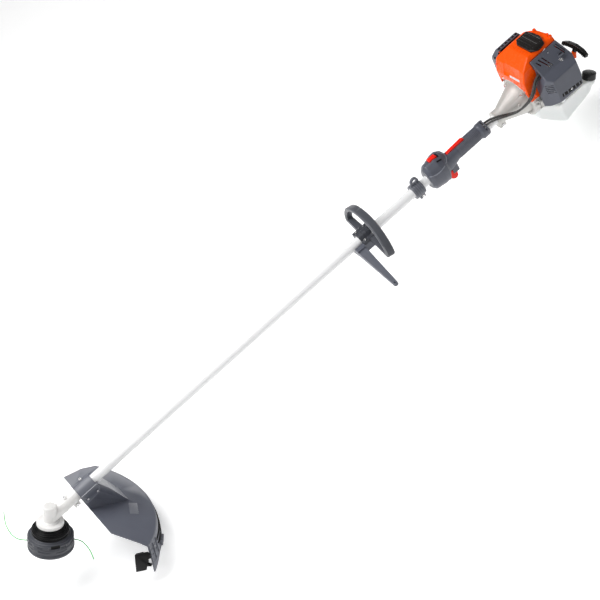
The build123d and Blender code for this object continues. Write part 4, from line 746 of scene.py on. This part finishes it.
# ---- Clutch housing ------------------------------------------------------------------------------
# A blasted aluminium casting: a collar that clamps the tube, opening as a cone to the engine. Two webs run
# down it, and two screw bosses stand on its side.
cone = eased("clutch_cone", "clutch_housing", 0.0012)
cone_parts = [cone]
for angle in (90.0, 205.0):
    lean = radians(angle)
    out = Vector((0.0, cos(lean), sin(lean)))
    foot = Vector((0.296, 0.0, AXIS_HEIGHT)) + out * 0.0205
    head = Vector((0.350, 0.0, AXIS_HEIGHT)) + out * 0.0425
    cone_parts.append(bar("web", foot, head, 0.0022, 0.0014,
                          (head - foot).cross(out.cross(Vector((1, 0, 0)))), 0.0007))
cone_parts.append(turned("lip", (0.2755, 0.0, AXIS_HEIGHT), (1.0, 0.0, 0.0),
                         [(0.0205, -0.0014), (0.0219, -0.0008), (0.0219, 0.0010), (0.0205, 0.0016),
                          (0.0205, -0.0014)], 72))
for place, radius in (((0.338, -0.0370, -0.0150), 0.0045), ((0.330, -0.0290, -0.0330), 0.0038)):
    root = Vector((place[0], 0.0, AXIS_HEIGHT))
    out = (Vector(place) - root).normalized()
    boss = turned("boss", Vector(place) - out * 0.004, out, [(0.0, 0.0), (radius, 0.0), (radius, 0.0052),
                  (radius * 0.55, 0.0056), (radius * 0.5, 0.0036), (0.0, 0.0036)], 28)
    cone_parts.append(rounded(boss, 0.0004))
dressed(joined("clutch_cone", cone_parts), cast, "cast_aluminium", "chassis", "clutch_housing")

# ---- Castings beside the cone --------------------------------------------------------------------
# The crankcase's bolted flange with its bosses, cover screws and the breather elbow, cast and machined.
flange_parts = []
for place, radius, length in (((0.3705, -0.0520, -0.0050), 0.0065, 0.012),
                              ((0.3745, -0.0560, -0.0270), 0.0075, 0.010),
                              ((0.3830, -0.0480, -0.0500), 0.0070, 0.014),
                              ((0.3900, -0.0545, -0.0130), 0.0080, 0.008),
                              ((0.3700, -0.0350, -0.0585), 0.0060, 0.010),
                              ((0.3960, -0.0540, -0.0400), 0.0060, 0.010)):
    place = Vector(place)
    boss = turned("flange_boss", place, (-0.35, -0.92, 0.0),
                  [(0.0, -0.006), (radius, -0.006), (radius, length * 0.55), (radius * 0.82, length * 0.62),
                   (radius * 0.55, length * 0.62), (radius * 0.55, length * 0.30), (0.0, length * 0.30)], 32)
    flange_parts.append(rounded(boss, 0.0006))
elbow = turned("breather", (0.3800, -0.0500, -0.0330), (-0.5, -0.8, -0.3),
               [(0.0, 0.0), (0.0052, 0.0), (0.0052, 0.009), (0.0066, 0.0096), (0.0066, 0.0140),
                (0.0050, 0.0150), (0.0, 0.0150)], 32)
flange_parts.append(rounded(elbow, 0.0005))
for height in (-0.004, -0.020, -0.036, -0.052):
    aside = -0.0560 + abs(height - AXIS_HEIGHT) * 0.35
    flange_parts.append(bar("cooling_rib", (0.3665, aside, height), (0.4080, aside, height), 0.0020, 0.0060,
                            (0.0, -1.0, 0.0), 0.0006))
dressed(joined("flange_castings", flange_parts), cast, "cast_aluminium", "chassis")

# ---- Engine cowling ------------------------------------------------------------------------------
# A glossy orange moulding over the cylinder: rounded shoulders, a shallow dished panel with a bare plate on
# it, cooling slots on the side towards the muffler, screw bosses on top and three feet on the crankcase.
orange = paint_of("orange_moulding", (1.0, 0.094, 0.0006), 0.26, coat=0.10, gloss=0.15, shade=0.02,
                  grain=0.08, grain_size=0.0012, wear_and_sheen=0.06)
cowling = moulded("cowling", "engine_cover", 0.0011, 34)
dish_up = Vector((-0.93, 0.0, 0.38)).normalized()
dish = bar("dish", (0.3655, -0.044, 0.0675), (0.3655, 0.020, 0.0675), 0.034, 0.0030, dish_up, 0.0012)
cut(cowling, dish)
slots = []
for step in range(6):
    height = 0.030 + step * 0.0085
    lean = max(0.0, height - 0.051)
    slots.append(bar("slot", (0.3700 + lean * 0.55, 0.0565, height), (0.3920 + lean * 0.55, 0.0565, height),
                     0.0028, 0.016, (0.0, 1.0, 0.0)))
cut(cowling, joined("slot", slots))
extras = [cowling]
for place in ((0.4825, 0.0100, 0.1015), (0.4875, -0.0360, 0.1015), (0.4880, -0.0470, 0.1010)):
    extras.append(rounded(turned("boss", place, (0.0, 0.0, 1.0),
                                 [(0.0, -0.003), (0.0048, -0.003), (0.0044, 0.0058), (0.0030, 0.0058),
                                  (0.0028, 0.0036), (0.0, 0.0036)], 32), 0.0005))
for step in range(5):
    extras.append(bar("fin", (0.3645 + step * 0.0060, 0.0455, 0.0715 + step * 0.0055),
                      (0.3645 + step * 0.0060, 0.0515, 0.0690 + step * 0.0055), 0.0016, 0.0040, dish_up,
                      0.0005))
for place in ((0.3610, 0.0300, 0.0330), (0.3620, -0.0500, 0.0215), (0.3760, -0.0600, 0.0010)):
    foot = Vector(place)
    extras.append(bar("foot", foot + Vector((0.0, 0.0, 0.006)), foot - Vector((0.0, 0.0, 0.006)), 0.010,
                      0.0050, (-0.9, -0.4, 0.0), 0.0016))
dressed(joined("cowling", extras), orange, "orange_plastic", "chassis", "engine_cover")

plate_grey = paint_of("badge_plate", (0.66, 0.66, 0.68), 0.35, gloss=0.4, shade=0.05, grain=0.2,
                      grain_size=0.0008)
badge = bar("badge_plate", (0.36130, -0.0500, 0.0540), (0.36130, -0.0040, 0.0540), 0.0072, 0.0012,
            (-0.96, 0.0, 0.30), 0.0005)
dressed(badge, plate_grey, "grey_enamel", "chassis")

# ---- Plug hood -----------------------------------------------------------------------------------
# A black moulding clipped over the spark plug, with six grooves pressed across its top.
GROOVE_HEIGHT = 0.1100
hood_black = paint_of("hood_black", (0.0075, 0.0050, 0.0040), 0.20, gloss=0.5, grain=0.2, grain_size=0.0012,
                      wear_and_sheen=0.5)
hood = moulded("plug_hood", "plug_cover", 0.0008, 12)
for step in range(6):
    station = 0.4265 + step * 0.0080
    cut(hood, bar("hood_groove", (station, -0.0420, GROOVE_HEIGHT), (station, 0.0160, GROOVE_HEIGHT), 0.0026,
                  0.0034, (0.0, 0.0, 1.0), 0.0004))
dressed(hood, hood_black, "black_plastic", "chassis", "plug_cover")

# ---- Air filter hood -----------------------------------------------------------------------------
# A grey moulding over the filter: five vent slots and a round hole in its sloping top, with a dark red plate
# behind them that paints the shade inside the slots, five louvres low on its front corner, and a sunk strip
# with a black seal and teeth along its lower edge.
filter_hood = moulded("filter_hood", "filter_cover", 0.0011, 9)
slope_out = Vector((0.0, -0.765, 0.644)).normalized()
# A dark red plate under the vents: painted shade, the orange cowling as it looks in shadow through the slots.
vent_shade_plate = bar("vent_shade_plate", (0.4060, -0.0655, 0.0645), (0.4960, -0.0655, 0.0645), 0.0240, 0.0012,
                   slope_out, 0.0004)
dressed(vent_shade_plate, paint_of("painted_vent_shade_wall", (0.20, 0.008, 0.001), 0.5), "orange_plastic", "chassis")
vents = []
for start, end in (((0.4790, -0.0630, 0.0872), (0.4895, -0.0840, 0.0622)),
                   ((0.4850, -0.0630, 0.0872), (0.4935, -0.0820, 0.0646)),
                   ((0.4335, -0.0650, 0.0848), (0.4430, -0.0860, 0.0598)),
                   ((0.4225, -0.0640, 0.0860), (0.4360, -0.0860, 0.0598)),
                   ((0.4130, -0.0655, 0.0842), (0.4185, -0.0745, 0.0735))):
    vents.append(bar("vent", start, end, 0.0036, 0.012, slope_out))
vents.append(turned("hole", Vector((0.4551, -0.0649, 0.0849)) - slope_out * 0.008, slope_out,
                    [(0.0, 0.0), (0.0023, 0.0), (0.0023, 0.016), (0.0, 0.016)], 28))
screw_seat = Vector((0.4702, -0.0880, 0.0572))
vents.append(turned("screw_pocket", screw_seat - slope_out * 0.0032, slope_out,
                    [(0.0, 0.0), (0.0052, 0.0), (0.0056, 0.010), (0.0, 0.010)], 32))
louvre_out = Vector((-0.80, -0.60, 0.0))
for step in range(5):
    height = 0.0300 - step * 0.0062
    vents.append(bar("louvre", (0.3954, -0.0930, height), (0.4098, -0.1122, height), 0.0030, 0.0070,
                     louvre_out))
cut(filter_hood, joined("vents", vents))
cut(filter_hood, bar("strip", (0.4200, -0.1155, -0.0158), (0.4840, -0.1155, -0.0232), 0.0110, 0.0045,
                     (0.0, -1.0, 0.0)))
seal = bar("hood_seal", (0.4205, -0.1137, -0.0158), (0.4835, -0.1137, -0.0232), 0.0105, 0.0012,
           (0.0, -1.0, 0.0), 0.0003)
dressed(seal, black, "black_plastic", "chassis")
hood_bits = [filter_hood]
for step in range(5):
    place = Vector((0.4262 + step * 0.0128, -0.1142, -0.0163 - step * 0.0015))
    hood_bits.append(bar("tooth", place + Vector((0.0, 0.0, 0.0052)), place - Vector((0.0, 0.0, 0.0052)),
                         0.0026, 0.0014, (0.0, -1.0, 0.0), 0.0004))
dressed(joined("filter_hood", hood_bits), grey, "grey_plastic", "chassis", "filter_cover")


def cap_screw(name, seat, out, radius, height):
    """A cap screw's head: a short cylinder with a socket pressed into it."""
    screw = turned(name, seat, out, [(0.0, -height * 0.5), (radius, -height * 0.5), (radius, height * 0.85),
                                     (radius * 0.85, height), (radius * 0.5, height),
                                     (radius * 0.5, height * 0.4), (0.0, height * 0.4)], 24)
    return rounded(screw, radius * 0.06)


screws = []
for seat, out, radius, height in ((screw_seat - slope_out * 0.0026, slope_out, 0.0044, 0.0026),
                                  ((0.4515, -0.1135, -0.0195), (0.0, -1.0, 0.0), 0.0032, 0.0012),
                                  ((0.3590, 0.0300, 0.0330), (-0.9, -0.4, 0.0), 0.0030, 0.0016),
                                  ((0.3598, -0.0510, 0.0215), (-0.9, -0.4, 0.0), 0.0030, 0.0016)):
    screws.append(cap_screw("hood_screw", seat, out, radius, height))
dressed(joined("hood_screws", screws), bright_steel, "steel", "chassis")
dressed(eased("choke_knob", "choke_lever", 0.0008), grey, "grey_plastic", NODES["choke_lever"]["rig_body"],
        "choke_lever")

# ---- Muffler guard -------------------------------------------------------------------------------
# A dark moulded guard round the muffler, with rows of cooling slots through its outer faces.
muffler_hood = moulded("muffler_hood", "muffler_cover", 0.0011, 20)
holes = []
for column in range(6):
    for line in range(3):
        holes.append(bar("hole", (0.3895 + column * 0.0125, 0.056, 0.0300 + line * 0.0190),
                         (0.3895 + column * 0.0125, 0.076, 0.0300 + line * 0.0190), 0.0075, 0.0052,
                         (0.0, 0.0, 1.0)))
for step in range(6):
    middle = Vector((0.3960 + step * 0.0120, 0.0590, 0.0930))
    holes.append(bar("hole", middle - Vector((0.0, 0.0, 0.006)), middle + Vector((0.0, 0.0, 0.006)), 0.0080,
                     0.0072, (0.0, 1.0, 0.0)))
for step in range(5):
    middle = Vector((0.3720, 0.0605, 0.0760 - step * 0.0120))
    holes.append(bar("hole", middle - Vector((0.010, 0.0, 0.0)), middle + Vector((0.010, 0.0, 0.0)), 0.0078,
                     0.0072, (0.0, 1.0, 0.0)))
cut(muffler_hood, joined("holes", holes))
dressed(muffler_hood, grey, "grey_plastic", "chassis", "muffler_cover")

# ---- Starter -------------------------------------------------------------------------------------
# An orange recoil housing with air slots round its rim, a guide for the rope, and a ribbed black pull handle.
recoil = eased("recoil_housing", "starter_housing", 0.0022, 4)
air_slots = around(bar("air_slot", (0.515, 0.0, 0.0010), (0.530, 0.0, 0.0010), 0.0040, 0.022,
                       (0.0, 0.0, 1.0)), 12, (0.5, 0.0, AXIS_HEIGHT), (1.0, 0.0, 0.0))
cut(recoil, air_slots)
dressed(recoil, orange, "orange_plastic", "chassis", "starter_housing")
pull_out = Vector((0.55, -0.15, 0.82)).normalized()
knob_point = Vector((0.547, -0.032, 0.001))
neck = rounded(turned("rope_guide", knob_point - pull_out * 0.0240, pull_out,
                      [(0.0028, 0.0), (0.0100, 0.0), (0.0085, 0.0060), (0.0068, 0.0100), (0.0068, 0.0150),
                       (0.0060, 0.0160), (0.0028, 0.0160), (0.0028, 0.0)], 48), 0.0005)
dressed(neck, orange, "orange_plastic", "chassis")
pull_side = Vector((0.0, -0.947, -0.32)).cross(pull_out).normalized()
pull_along = pull_side.cross(pull_out).normalized()
handle = eased("pull_handle", "starter_handle", 0.0010)
handle_bits = [handle]
for step in range(-6, 7):
    if step:
        centre = knob_point + pull_along * step * 0.0056 + pull_out * (0.0035 - 0.00016 * step * step)
        handle_bits.append(bar("pull_rib", centre - pull_out * 0.0048, centre + pull_out * 0.0048, 0.0016,
                               0.0150, pull_side, 0.0005))
dressed(joined("pull_handle", handle_bits), gloss_black, "black_plastic", "starter_handle", "starter_handle")

# ---- Starter rope --------------------------------------------------------------------------------
# Three nylon strands laid round each other, from inside the guide to the handle. The rope stays in the
# housing at one end and in the handle at the other.
ROPE_RUN = 0.0289
ROPE_STEPS = 240
STEPS_PER_TURN = 96.0
LAY_RADIUS = 0.00095
STRAND_RADIUS = 0.00105
inner_end = knob_point - pull_out * 0.0300
across = pull_out.orthogonal().normalized()
lift = pull_out.cross(across)
strands = []
for strand in range(3):
    rings = []
    for step in range(ROPE_STEPS + 1):
        phase = 2.0 * pi * (strand / 3.0 + step / STEPS_PER_TURN)
        centre = inner_end + pull_out * (ROPE_RUN * step / ROPE_STEPS)
        rings.append((centre + (across * cos(phase) + lift * sin(phase)) * LAY_RADIUS, across, lift,
                      STRAND_RADIUS))
    strands.append(ringed("strand", rings, 10))
pull_rope = joined("pull_rope", strands)
bpy.ops.object.shade_smooth()
pull_rope.data.materials.append(rope_skin)
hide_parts("starter_rope")
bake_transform(pull_rope)

# ---- Fuel tank and cap ---------------------------------------------------------------------------
# A translucent white blow-moulded tank with a faint painted glow, and a black cap with ribbed sides.
tank = moulded("tank", "fuel_tank", 0.0013, 30)
dressed(tank, glowing_tank_skin, "tank_plastic", "chassis", "fuel_tank")
cap_out = Vector((0.485, 0.0, 0.874)).normalized()
cap = eased("tank_cap", "fuel_cap", 0.0016)
cap_foot = Vector((0.540, -0.050, -0.0948))
cap_side = Vector((0.0, 0.0172, 0.0))
grip_rib = bar("cap_rib", cap_foot + cap_out * 0.004 + cap_side, cap_foot + cap_out * 0.015 + cap_side,
               0.0020, 0.0012, (0.0, 1.0, 0.0), 0.0004)
cap = joined("tank_cap", [cap, around(grip_rib, 24, cap_foot, cap_out)])
dressed(cap, gloss_black, "black_plastic", NODES["fuel_cap"]["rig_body"], "fuel_cap")
